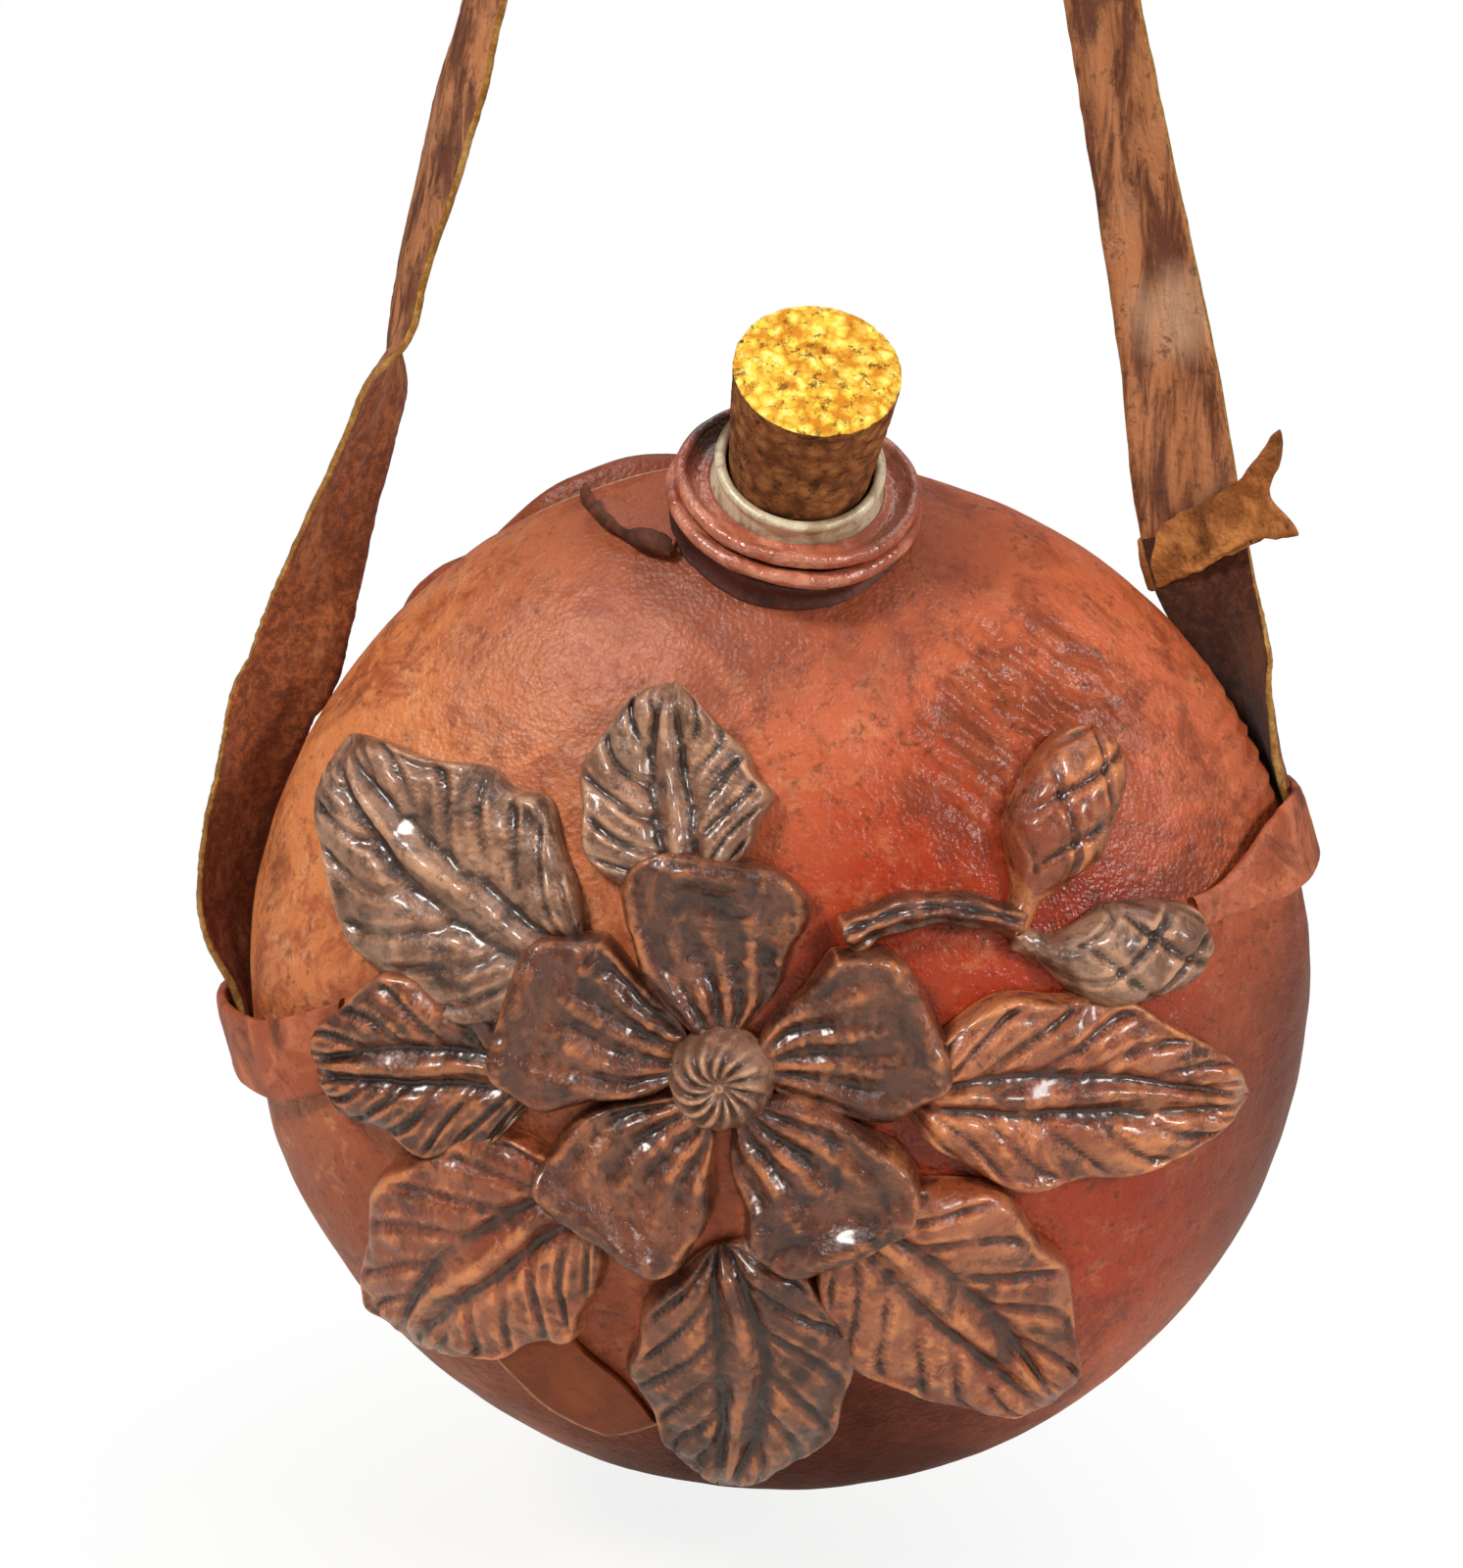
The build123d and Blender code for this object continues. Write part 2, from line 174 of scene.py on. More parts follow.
def ridge(value, middle, width):
    """A rounded ridge, 1 at its middle and about 0 a width or two away."""
    return math.exp(-(((value - middle) / width) ** 2))


def dome(off, power):
    """1 in the middle and 0 at 1 and beyond, the flatter on top the higher its power."""
    return max(1 - abs(off) ** power, 0) ** 0.5


def lumps(point, size, octaves=3, seed=0.0):
    """Smooth noise from about -1 to 1 whose lumps are about size across."""
    where = Vector(point) / size + Vector((seed, seed * 0.7, -seed))
    return noise.fractal(where, 0.8, 2.1, octaves)


def row_rates(rows, index):
    """How fast each number of a table changes per millimetre along it, at a row."""
    rates = []
    gaps = []
    for low, high in ((index - 1, index), (index, index + 1)):
        if low >= 0 and high < len(rows):
            gap = (Vector(rows[high][:3]) - Vector(rows[low][:3])).length
            rates.append([(b - a) / gap for a, b in zip(rows[low], rows[high])])
            gaps.append(gap)
    if len(rates) == 1:
        return rates[0]
    return [(a * gaps[1] + b * gaps[0]) / sum(gaps) for a, b in zip(*rates)]


def along_rows(rows, share):
    """A smooth curve through the rows of a table, at a share of their count."""
    spot = share * (len(rows) - 1)
    index = min(int(spot), len(rows) - 2)
    part = spot - index
    start = rows[index]
    end = rows[index + 1]
    gap = (Vector(end[:3]) - Vector(start[:3])).length
    rates = zip(row_rates(rows, index), row_rates(rows, index + 1))
    return [
        (2 * part**3 - 3 * part**2 + 1) * low + (part**3 - 2 * part**2 + part) * leaving * gap
        + (3 * part**2 - 2 * part**3) * high + (part**3 - part**2) * coming * gap
        for low, high, (leaving, coming) in zip(start, end, rates)
    ]


def heading_at(rows, share, reach):
    """The direction of a table's curve at a share, taken over a reach to each side."""
    ahead = along_rows(rows, min(share + reach, 1))[:3]
    behind = along_rows(rows, max(share - reach, 0))[:3]
    return (Vector(ahead) - Vector(behind)).normalized()


# Places on the body

def front_depth(across, up):
    """How far in front of the middle plane the plain body's surface lies."""
    share = min((across**2 + up**2) / body_radius**2, 0.9985)
    return -body_half_depth * math.sqrt(1 - share)


def body_slope(point):
    """Half the gradient, at a point, of the measure that is 1 all over the plain body."""
    return Vector((
        point.x / body_radius**2, point.y / body_half_depth**2, point.z / body_radius**2
    ))


def outward(point):
    """The direction straight out of the body at a point on it."""
    return body_slope(point).normalized()


def on_front(across, up, growth=0.0):
    """The point that stands growth above the front of the body under an X and Z."""
    point = Vector((across, front_depth(across, up), up))
    return point + outward(point) * growth


def above_body(point):
    """How far a point stands above the plain body, close to it."""
    slope = body_slope(point)
    return (point.dot(slope) - 1) / (2 * slope.length)


def on_neck(radius, angle, height):
    """A point about the neck's axis. An angle of 0 is to the right and 90 to the back."""
    turn = math.radians(angle)
    out = neck_across * math.cos(turn) + neck_up * math.sin(turn)
    return neck_foot + out * radius + neck_axis * height


# Material helpers

class Paint:
    """A material under construction. Its scales are per metre and its depths in millimetres."""

    def __init__(self, name):
        self.material = bpy.data.materials.new(name)
        self.material.use_nodes = True
        self.tree = self.material.node_tree
        self.shader = self.tree.nodes["Principled BSDF"]
        self.place = self.tree.nodes.new("ShaderNodeTexCoord").outputs["Object"]
        self.colour = None
        self.bump_out = None

    def feed(self, socket, value):
        """Links a socket to another one, or gives it a plain value."""
        if isinstance(value, bpy.types.NodeSocket):
            self.tree.links.new(value, socket)
        elif isinstance(value, tuple) and len(value) == 3 and len(socket.default_value) == 4:
            socket.default_value = (*value, 1)
        else:
            socket.default_value = value

    def node(self, kind, **values):
        """A new node with a link or plain value for each input named. An underscore is a space."""
        node = self.tree.nodes.new(kind)
        for name, value in values.items():
            self.feed(node.inputs[name.replace("_", " ")], value)
        return node

    def stretch(self, factors, turn=(0, 0, 0)):
        """The place with each axis scaled, so that what follows is drawn out."""
        node = self.node("ShaderNodeMapping", Vector=self.place, Scale=factors, Rotation=turn)
        return node.outputs["Vector"]

    def noise(self, scale, detail=3, roughness=0.55, distortion=0.0, place=None, output="Fac"):
        return self.node(
            "ShaderNodeTexNoise", Vector=place or self.place, Scale=scale, Detail=detail,
            Roughness=roughness, Distortion=distortion,
        ).outputs[output]

    def cells(self, scale, output="Distance", place=None):
        node = self.node("ShaderNodeTexVoronoi", Vector=place or self.place, Scale=scale)
        return node.outputs[output]

    def ramp(self, factor, *stops):
        """Colours or levels along a factor: (place, colour) pairs."""
        node = self.node("ShaderNodeValToRGB", Fac=factor)
        elements = node.color_ramp.elements
        while len(elements) < len(stops):
            elements.new(0.5)
        for element, (place, colour) in zip(elements, stops):
            element.position = place
            level = (colour,) * 3 if isinstance(colour, (int, float)) else colour
            element.color = (*level, 1)
        return node.outputs["Color"]

    def mix(self, factor, first, second):
        node = self.tree.nodes.new("ShaderNodeMix")
        node.data_type = "RGBA"
        for index, value in ((0, factor), (6, first), (7, second)):
            self.feed(node.inputs[index], value)
        return node.outputs[2]

    def math(self, operation, first, second=0.0):
        node = self.tree.nodes.new("ShaderNodeMath")
        node.operation = operation
        self.feed(node.inputs[0], first)
        self.feed(node.inputs[1], second)
        return node.outputs[0]

    def part(self, factor, share):
        """A factor times a share."""
        return self.math("MULTIPLY", factor, share)

    def less(self, first, second):
        """The first less the second."""
        return self.math("SUBTRACT", first, second)

    def near(self, spot, inner, outer, wobble=0.0):
        """1 within inner of a spot, falling to 0 at outer, with an uneven edge, in mm."""
        node = self.tree.nodes.new("ShaderNodeVectorMath")
        node.operation = "DISTANCE"
        self.feed(node.inputs[0], self.place)
        self.feed(node.inputs[1], (bottle_centre + Vector(spot)) * mm)
        distance = node.outputs["Value"]
        if wobble:
            shift = self.less(self.noise(60, 4, 0.65), 0.5)
            distance = self.math("ADD", distance, self.part(shift, wobble * mm))
        return self.span(distance, outer * mm, inner * mm)

    def span(self, value, low, high):
        """0 at low and 1 at high, held outside."""
        node = self.node("ShaderNodeMapRange", Value=value, From_Min=low, From_Max=high)
        node.interpolation_type = "SMOOTHSTEP"
        return node.outputs["Result"]

    def bent(self, low, high):
        """0 to 1 as the surface bends from one pointedness to another."""
        return self.span(self.node("ShaderNodeNewGeometry").outputs["Pointiness"], low, high)

    def blend(self, factor, limits, first, second):
        """Starts the colour as a blend of two, as a factor goes through its limits."""
        self.colour = self.mix(self.span(factor, *limits), first, second)

    def tint(self, other, factor, share=1.0):
        """Lays a colour over the last one by a share of a factor."""
        self.colour = self.mix(self.part(factor, share), self.colour, other)

    def blots(self, other, share, limits, *grain):
        """Lays a colour over the last one as a noise goes through its limits."""
        self.tint(other, self.span(self.noise(*grain), *limits), share)

    def patch(self, other, share, *region):
        """Lays a colour over the last one about a spot. A region is what near takes."""
        self.tint(other, self.near(*region), share)

    def bump(self, height, depth, strength=1.0):
        """Adds relief of about depth to the surface."""
        node = self.node("ShaderNodeBump", Height=height, Distance=depth * mm, Strength=strength)
        if self.bump_out:
            self.feed(node.inputs["Normal"], self.bump_out)
        self.bump_out = node.outputs["Normal"]

    def done(self, roughness, **values):
        """The finished material, with its colour, its relief and other values of its shader."""
        values["Base_Color"] = self.colour
        values["Roughness"] = roughness
        if self.bump_out:
            values["Normal"] = self.bump_out
        for name, value in values.items():
            self.feed(self.shader.inputs[name.replace("_", " ")], value)
        return self.material


def leather_grain(paint, depth=1.0, pores=1000):
    """Pores, a pebbled grain and soft lumps that all the smooth leather shares."""
    paint.bump(paint.cells(pores), 0.16 * depth, 0.6)
    paint.bump(paint.noise(420, 4, 0.7, 0.3), 0.30 * depth, 0.6)
    paint.bump(paint.noise(130, 5, 0.65, 0.4), 0.8 * depth, 0.5)
    paint.bump(paint.noise(34, 4, 0.6), 2.6 * depth, 0.3)


def body_leather(name, ground, tan, worn_share):
    """Waxed leather of the two covers: tan at the upper left, deep glossy red at the right."""
    paint = Paint(name)
    pale = (0.72, 0.32, 0.14)
    rust = (0.30, 0.056, 0.016)
    deep_red = (0.34, 0.026, 0.004)
    dark_mark = (0.15, 0.026, 0.009)
    dark = (0.060, 0.012, 0.006)
    lower_left = (-82, -20, -62)
    right_side = (114, 0, -24)
    crown = (-34, -36, 88)
    underside_shade_spot = (4, -20, -108)
    upper_left = paint.near((-80, -25, 46), 26, 98, 34)
    middle_right = paint.near((38, -48, 12), 26, 62, 22)
    lower_right = paint.near((48, -48, -34), 20, 68, 30)
    glossy = paint.math("MAXIMUM", middle_right, lower_right)
    paint.colour = paint.mix(upper_left, ground, tan)
    paint.patch((0.25, 0.055, 0.018), 0.85, lower_left, 26, 78, 26)
    paint.tint(deep_red, glossy, 0.92)
    mottle = paint.noise(70, 8, 0.70, 0.6)
    paint.tint(rust, paint.span(mottle, 0.47, 0.62), paint.less(0.80, paint.part(glossy, 0.5)))
    worn = paint.span(paint.noise(150, 7, 0.74, 0.4), 0.50, 0.66)
    share = paint.math("ADD", paint.part(upper_left, 0.45 * worn_share), 0.22 * worn_share)
    paint.tint(pale, worn, share)
    paint.blots(dark_mark, 0.74, (0.51, 0.66), 26, 8, 0.72, 1.2)
    paint.blots(dark, 0.60, (0.52, 0.66), 300, 6, 0.80)
    # Painted shade: near black towards the underside, where the specular level drops as well
    below = paint.near(underside_shade_spot, 24, 84, 26)
    paint.tint((0.036, 0.006, 0.0025), below, 0.92)
    # Painted shade darkens the right edge
    paint.patch((0.10, 0.016, 0.008), 0.90, right_side, 24, 76, 20)
    paint.patch((0.17, 0.034, 0.015), 0.55, neck_foot, 23, 46, 9)
    paint.patch((0.27, 0.068, 0.030), 0.60, crown, 16, 56, 26)
    leather_grain(paint, 1.4)
    paint.bump(paint.noise(260, 4, 0.6, 0.8), 0.9, 0.35)
    wrinkled = paint.near(wrinkle_spot, 8, 30, 10)
    shine = paint.part(paint.math("MAXIMUM", glossy, wrinkled), 0.18)
    roughness = paint.less(paint.ramp(mottle, (0.3, 0.33), (0.7, 0.48)), shine)
    return paint.done(roughness, Specular_IOR_Level=paint.less(0.36, paint.part(below, 0.30)))


def relief_leather(name, base, tone, black, rubbed, rubbed_share, shine):
    """Burnished leather: near black in the folds and rubbed to a lighter tone on the ridges."""
    paint = Paint(name)
    paint.blend(paint.noise(40, 6, 0.66, 0.8), (0.44, 0.60), base, tone)
    folds = paint.noise(95, 7, 0.70, 0.9)
    paint.tint(black, paint.span(folds, 0.49, 0.64), 0.80)
    paint.blots(rubbed, rubbed_share, (0.55, 0.68), 52, 6, 0.68, 0.7)
    worn = paint.span(paint.noise(80, 5, 0.7), 0.38, 0.60)
    paint.tint(rubbed, paint.part(paint.bent(0.505, 0.545), worn), 0.85)
    paint.tint(black, paint.bent(0.492, 0.452), 0.85)
    paint.blots(black, 0.55, (0.55, 0.68), 380, 4, 0.75)
    drawn_out = paint.stretch((1, 1, 0.5), (0, 0.6, 0))
    paint.bump(paint.noise(210, 5, 0.68, 1.0, drawn_out), 1.1, 0.6)
    leather_grain(paint, 1.2, 800)
    roughness = paint.ramp(folds, (0.35, shine - 0.05), (0.65, shine + 0.10))
    return paint.done(roughness, Specular_IOR_Level=0.40, Coat_Weight=0.42, Coat_Roughness=0.15)


def plain_leather(name, base, light, dark, smooth, depth=1.0, gloss=0.32, dark_mark=None):
    """Leather in one tone with mottling, stains and rubbed places, and where given a spot darkened to
    near black.
    """
    paint = Paint(name)
    mottle = paint.noise(85, 6, 0.68, 0.6)
    paint.blend(mottle, (0.44, 0.64), base, light)
    paint.blots(dark, 0.80, (0.50, 0.66), 48, 7, 0.70, 0.9)
    paint.blots(dark, 0.60, (0.55, 0.70), 420, 4, 0.75)
    # Darkens a given spot to near black
    if dark_mark:
        paint.patch((0.030, 0.011, 0.006), 0.95, *dark_mark)
    leather_grain(paint, depth)
    roughness = paint.ramp(mottle, (0.3, smooth), (0.7, smooth + 0.18))
    return paint.done(roughness, Specular_IOR_Level=gloss)


def flesh_leather(name, base, light, pale):
    """The rough, unfinished side of leather, with a short nap."""
    paint = Paint(name)
    nap = paint.noise(520, 6, 0.8)
    paint.blend(nap, (0.42, 0.66), base, light)
    paint.blots(pale, 0.7, (0.52, 0.68), 120, 6, 0.70, 0.5, paint.stretch((1, 1, 0.3)))
    paint.bump(nap, 0.9, 0.8)
    paint.bump(paint.noise(1100, 4, 0.75), 0.35, 0.7)
    return paint.done(0.92, Sheen_Weight=0.12, Sheen_Roughness=0.5, Specular_IOR_Level=0.2)


def strap_grain():
    """The strap's outer side: dark brown with lengthwise creases, rubbed pale streaks and painted shade
    below the keeper.
    """
    rubbed_spot = (77, 0, 134)
    painted_shade_spot = (92, 0, 72)
    paint = Paint("strap_grain")
    streaks = paint.noise(240, 6, 0.68, 0.5, paint.stretch((1, 1, 0.13), (0, 0.2, 0)))
    paint.blend(streaks, (0.40, 0.60), (0.110, 0.030, 0.010), (0.40, 0.150, 0.056))
    paint.blots((0.42, 0.19, 0.09), 0.5, (0.56, 0.70), 44, 6, 0.66)
    paint.patch((0.60, 0.36, 0.22), 0.55, rubbed_spot, 3, 12, 9)
    # Painted shade on the right run just below the keeper, where the strap goes behind the bottle
    paint.patch((0.075, 0.018, 0.006), 0.85, painted_shade_spot, 14, 34, 8)
    paint.blots((0.035, 0.012, 0.006), 0.65, (0.54, 0.68), 360, 4, 0.75)
    paint.bump(streaks, 1.5, 0.7)
    leather_grain(paint, 0.8)
    return paint.done(paint.ramp(streaks, (0.3, 0.66), (0.7, 0.50)), Specular_IOR_Level=0.35)


def cork_paint(name, tones, specks, scale, deep, speck_share):
    """Pressed granules of cork: pale flakes, darker between them, with brown specks."""
    paint = Paint(name)
    sway = 3.4 * mm
    shift = paint.node("ShaderNodeVectorMath")
    shift.operation = "MULTIPLY_ADD"
    paint.feed(shift.inputs[0], paint.noise(380, roughness=0.5, output="Color"))
    paint.feed(shift.inputs[1], (sway, sway, sway))
    paint.feed(shift.inputs[2], paint.place)
    warped = shift.outputs["Vector"]
    flakes = paint.cells(scale, place=warped)
    paint.colour = paint.ramp(flakes, *tones)
    shades = paint.node("ShaderNodeSeparateColor", Color=paint.cells(scale, "Color", warped))
    paint.tint(tones[-1][1], paint.span(shades.outputs["Red"], 0.62, 0.95), 0.5)
    paint.blots(specks, 0.9, (0.54, 0.60), 400, 7, 0.82)
    paint.blots(specks, speck_share, (0.55, 0.63), 230, 7, 0.80, 0.4)
    paint.bump(flakes, deep, -0.8)
    paint.bump(paint.noise(760, 4, 0.75), deep, 0.8)
    return paint.done(0.9, Specular_IOR_Level=0.2)


def ring_paint():
    """Dull pale horn in mottled tones with brown stains, darkened to near black about a spot at its
    back left.
    """
    paint = Paint("mouth_ring")
    smear = paint.noise(130, 6, 0.72, 0.8)
    paint.blend(smear, (0.42, 0.64), (0.72, 0.62, 0.44), (0.40, 0.29, 0.17))
    paint.patch((0.06, 0.022, 0.010), 0.92, ring_dark_spot, 5, 13, 8)
    paint.blots((0.12, 0.065, 0.030), 0.75, (0.56, 0.66), 240, 6, 0.78, 0.4)
    paint.bump(paint.noise(460, 4, 0.7), 0.3, 0.5)
    return paint.done(paint.ramp(smear, (0.35, 0.34), (0.65, 0.55)), Metallic=0.2)


def gourd_paint():
    """The dry gourd inside, seen only down the neck."""
    paint = Paint("gourd_skin")
    paint.blend(paint.noise(70, 5, 0.65), (0.42, 0.62), (0.42, 0.26, 0.12), (0.26, 0.14, 0.06))
    paint.bump(paint.noise(300, 4, 0.7), 0.4, 0.6)
    return paint.done(0.7)


grain_body = body_leather("body_leather", (0.50, 0.112, 0.042), (0.62, 0.200, 0.066), 1.0)
# The back cover takes a darker copy of the leather, as painted shade
back_grain_shaded = body_leather("back_leather_shaded", (0.24, 0.056, 0.022), (0.27, 0.070, 0.028), 0.2)
relief_grey, relief_dark, relief_warm = [
    relief_leather(*values) for values in (
        ("relief_grey", (0.170, 0.074, 0.042), (0.30, 0.165, 0.105), (0.022, 0.010, 0.007),
         (0.55, 0.290, 0.165), 0.55, 0.30),
        ("relief_dark", (0.085, 0.026, 0.014), (0.190, 0.060, 0.028), (0.012, 0.005, 0.004),
         (0.50, 0.170, 0.060), 0.40, 0.22),
        ("relief_warm", (0.230, 0.050, 0.018), (0.34, 0.110, 0.046), (0.030, 0.009, 0.005),
         (0.64, 0.230, 0.080), 0.60, 0.28),
    )
]
grain_patch, grain_collar, grain_loop, keeper_leather, wall_shade, curl_shade = [
    plain_leather(*values) for values in (
        ("patch_leather", (0.200, 0.042, 0.012), (0.26, 0.062, 0.018), (0.120, 0.026, 0.008), 0.56),
        ("collar_leather", (0.36, 0.080, 0.038), (0.55, 0.205, 0.120), (0.12, 0.028, 0.015),
         0.14, 1.5, 0.9, (ring_dark_spot, 4, 9, 5)),
        ("loop_leather", (0.330, 0.075, 0.028), (0.52, 0.150, 0.070), (0.085, 0.018, 0.009), 0.40),
        ("keeper_leather", (0.24, 0.078, 0.019), (0.50, 0.200, 0.055), (0.060, 0.018, 0.006),
         0.66, 2.2, 0.2),
        # Near black: painted shade under the collar's rolls
        ("wall_shade", (0.060, 0.013, 0.008), (0.13, 0.030, 0.017), (0.020, 0.006, 0.004), 0.45),
        # Near black: painted shade for the flap's curled edge
        ("curl_shade", (0.075, 0.018, 0.008), (0.17, 0.045, 0.020), (0.020, 0.006, 0.003), 0.60),
    )
]
flesh_strap, strap_shade, edge_strap, cut_edge = [
    flesh_leather(*values) for values in (
        ("strap_flesh", (0.180, 0.042, 0.012), (0.46, 0.125, 0.036), (0.52, 0.200, 0.070)),
        # The rough side below the keeper, darkened as painted shade
        ("strap_painted_shade", (0.045, 0.011, 0.004), (0.130, 0.034, 0.010), (0.17, 0.055, 0.018)),
        ("strap_edge", (0.24, 0.095, 0.014), (0.50, 0.255, 0.050), (0.60, 0.36, 0.12)),
        ("cut_edge", (0.42, 0.185, 0.085), (0.60, 0.330, 0.180), (0.68, 0.45, 0.28)),
    )
]
grain_strap = strap_grain()
ring_metal = ring_paint()
cork_top, cork_side = [
    cork_paint(*values) for values in (
        ("cork_top",
         ((0.0, (1.0, 0.92, 0.32)), (0.40, (0.94, 0.64, 0.075)), (0.80, (0.62, 0.24, 0.015))),
         (0.16, 0.040, 0.006), 430, 0.8, 0.75),
        ("cork_side",
         ((0.0, (0.40, 0.165, 0.055)), (0.5, (0.24, 0.080, 0.024)), (0.9, (0.10, 0.030, 0.009))),
         (0.045, 0.014, 0.004), 330, 0.6, 0.8),
    )
]
gourd_skin = gourd_paint()


# Camera, light and floor

def add_camera():
    """The camera of the photograph: a little above the bottle, tipped down."""
    eye_distance = 533
    eye_rise = math.radians(15.0)
    tip_down = math.radians(10.63)
    turn_left = math.radians(1.05)
    data = bpy.data.cameras.new("camera")
    data.sensor_fit = "VERTICAL"
    data.sensor_height = 36
    data.lens = 60
    camera = bpy.data.objects.new("camera", data)
    out = Vector((0, -math.cos(eye_rise), math.sin(eye_rise)))
    camera.location = (bottle_centre + out * eye_distance) * mm
    camera.rotation_euler = (math.radians(90) - tip_down, 0, turn_left)
    bpy.context.collection.objects.link(camera)
    bpy.context.scene.camera = camera


def add_light(name, offset, size, power, colour=(1, 1, 1)):
    """A soft square lamp that faces the bottle, at an offset and size in millimetres."""
    data = bpy.data.lights.new(name, "AREA")
    data.size = size * mm
    data.energy = power
    data.color = colour
    lamp = bpy.data.objects.new(name, data)
    lamp.location = (bottle_centre + Vector(offset)) * mm
    lamp.rotation_euler = (-Vector(offset)).to_track_quat("-Z", "Y").to_euler()
    bpy.context.collection.objects.link(lamp)


def add_world():
    """A world that looks plain white and lights the bottle only a little."""
    glow = 0.26
    world = bpy.data.worlds.new("world")
    bpy.context.scene.world = world
    world.use_nodes = True
    tree = world.node_tree
    sky = tree.nodes["Background"]
    sky.inputs["Color"].default_value = (1, 1, 1, 1)
    path = tree.nodes.new("ShaderNodeLightPath")
    level = tree.nodes.new("ShaderNodeMapRange")
    level.inputs["To Min"].default_value = glow
    tree.links.new(path.outputs["Is Camera Ray"], level.inputs["Value"])
    tree.links.new(level.outputs["Result"], sky.inputs["Strength"])


def white_when_seen(paint, share):
    """Mixes plain white into a paint where it is looked at straight."""
    path = paint.node("ShaderNodeLightPath")
    mixer = paint.node("ShaderNodeMixShader", Fac=paint.part(path.outputs["Is Camera Ray"], share))
    paint.feed(mixer.inputs[1], paint.shader.outputs["BSDF"])
    paint.feed(mixer.inputs[2], paint.node("ShaderNodeEmission", Strength=1).outputs["Emission"])
    return mixer.outputs["Shader"]


def add_floor():
    """A wide pale floor a little below the hanging bottle, shaded faintly under it."""
    gap = 22
    half = 2200
    low = -body_radius - gap
    corners = [(-half, -half, low), (half, -half, low), (half, half, low), (-half, half, low)]
    paint = Paint("floor")
    mottle = paint.noise(6, 3, 0.5)
    paint.colour = paint.ramp(mottle, (0.3, (0.78, 0.74, 0.66)), (0.7, (0.82, 0.78, 0.70)))
    paint.done(0.8)
    shaded = paint.near((-30, 30, low), 20, 170)
    surface = white_when_seen(paint, paint.less(1.0, paint.part(shaded, 0.16)))
    paint.feed(paint.tree.nodes["Material Output"].inputs["Surface"], surface)
    mesh_object("floor", corners, [(0, 1, 2, 3)], [paint.material])


def add_surroundings():
    """A white world, three soft lamps and the floor."""
    add_world()
    add_light("key", (-520, -640, 760), 190, 8.6, (1.0, 0.97, 0.93))
    add_light("side", (820, -700, 460), 220, 7.0, (1.0, 0.97, 0.95))
    add_light("top", (50, 150, 1050), 600, 2.6)
    add_floor()


# Body covers

def cover_relief(point):
    """How far the covers' leather stands in or out of the even body."""
    def close_to(spot, inner, outer):
        return step(outer, inner, (point - spot).length)

    rise = 0.55 * lumps(point, 42, 3, 3.1) + 0.14 * lumps(point, 11, 3, 8.4)
    rise -= 0.4 * step(98, 106, -point.z) + 0.5 * close_to(loop_spot, 10, 20)
    waves = math.sin((point.x * 0.8 + point.z * 1.3) * 0.95 + 3.0 * lumps(point, 9, 2, 5.5))
    wrinkles = 0.60 * waves + 0.95 * lumps(point, 4.5, 3, 1.0)
    rise += wrinkles * close_to(wrinkle_spot, 10, 27)
    folds = math.sin((point.x * 0.75 - point.z * 0.95) * 1.1 + 1.5 * lumps(point, 14, 2, 2.0))
    rise += 0.55 * folds * close_to(drawn_spot, 6, 24)
    aside = (point - groove_spot).dot(groove_across)
    return rise - 1.1 * ridge(aside, 0, 0.7) * close_to(groove_spot, 7, 11)


def seam_depth(angle):
    """How far behind the middle the front cover ends, at an angle round the body."""
    degrees = math.degrees(angle) % 360
    high = plateau(degrees, 93, 104, 114, 124)
    low = plateau(degrees, 124, 128, 132, 137)
    ragged = 0.6 * noise.noise(Vector((degrees / 9, 0, 2)))
    return 4.0 - 8.5 * high - 4.0 * low + ragged


def peek(angle):
    """Where the back cover stands out from behind the front one, from 0 to 1."""
    degrees = math.degrees(angle) % 360
    return max(plateau(degrees, 95, 106, 112, 123), 0.35 * plateau(degrees, 125, 129, 131, 136))


def cover_point(row, angle, edge, side):
    """A point on the even body, on the way from its front or back pole to an edge's depth."""
    pole = 0.004
    crowding = 0.92
    last = math.acos(max(min(side * edge / body_half_depth, 1), -1))
    tilt = pole + (last - pole) * row**crowding
    around = math.sin(tilt) * body_radius
    depth = side * body_half_depth * math.cos(tilt)
    return Vector((around * math.cos(angle), depth, around * math.sin(angle)))


def open_neck(shape):
    """Takes the faces away where the mouth ring goes through."""
    inside = []
    for face in shape.faces:
        away = Vector(face.calc_center_median()) / mm - bottle_centre - neck_foot
        height = away.dot(neck_axis)
        if abs(height) < neck_hole_depth and (away - neck_axis * height).length < neck_hole_radius:
            inside.append(face)
    bmesh.ops.delete(shape, geom=inside, context="FACES")


def front_cover():
    """The front half of the cover, with its pale cut edge and the hole for the neck."""
    def place(row, column):
        angle = column * math.tau
        point = cover_point(row, angle, seam_depth(angle), -1)
        rise = cover_relief(point) + (peek(angle) - 0.5) * step(0.955, 1.0, row)
        return point + outward(point) * rise

    def paint_of(row, column):
        return int(row > 0.985 and peek(column * math.tau) > 0.05)

    piece = grid_object("front_cover", 170, 380, place, [grain_body, cut_edge], wrap=True,
                        paint_of=paint_of)
    return thicken(edit_mesh(piece, open_neck), cover_thickness, 1)


def back_cover():
    """The back half, which stands out a little where the front cover is drawn in. Its darker leather is
    painted shade.
    """
    def place(row, column):
        angle = column * math.tau
        edge = seam_depth(angle)
        opened = peek(angle)
        point = cover_point(row, angle, edge + 0.5 - 4.5 * opened, 1)
        bulge = step(26, 5, abs(point.y - edge - 3))
        under = step(edge + 2.0, edge - 1.5, point.y)
        rise = cover_relief(point) + opened * (3.6 * bulge - 6.4 * under)
        rise -= 0.5 * step(0.975, 1.0, row) * (1 - opened)
        return point + outward(point) * rise

    piece = grid_object("back_cover", 130, 340, place, [back_grain_shaded, cut_edge], wrap=True)
    return thicken(piece, cover_thickness, 1)


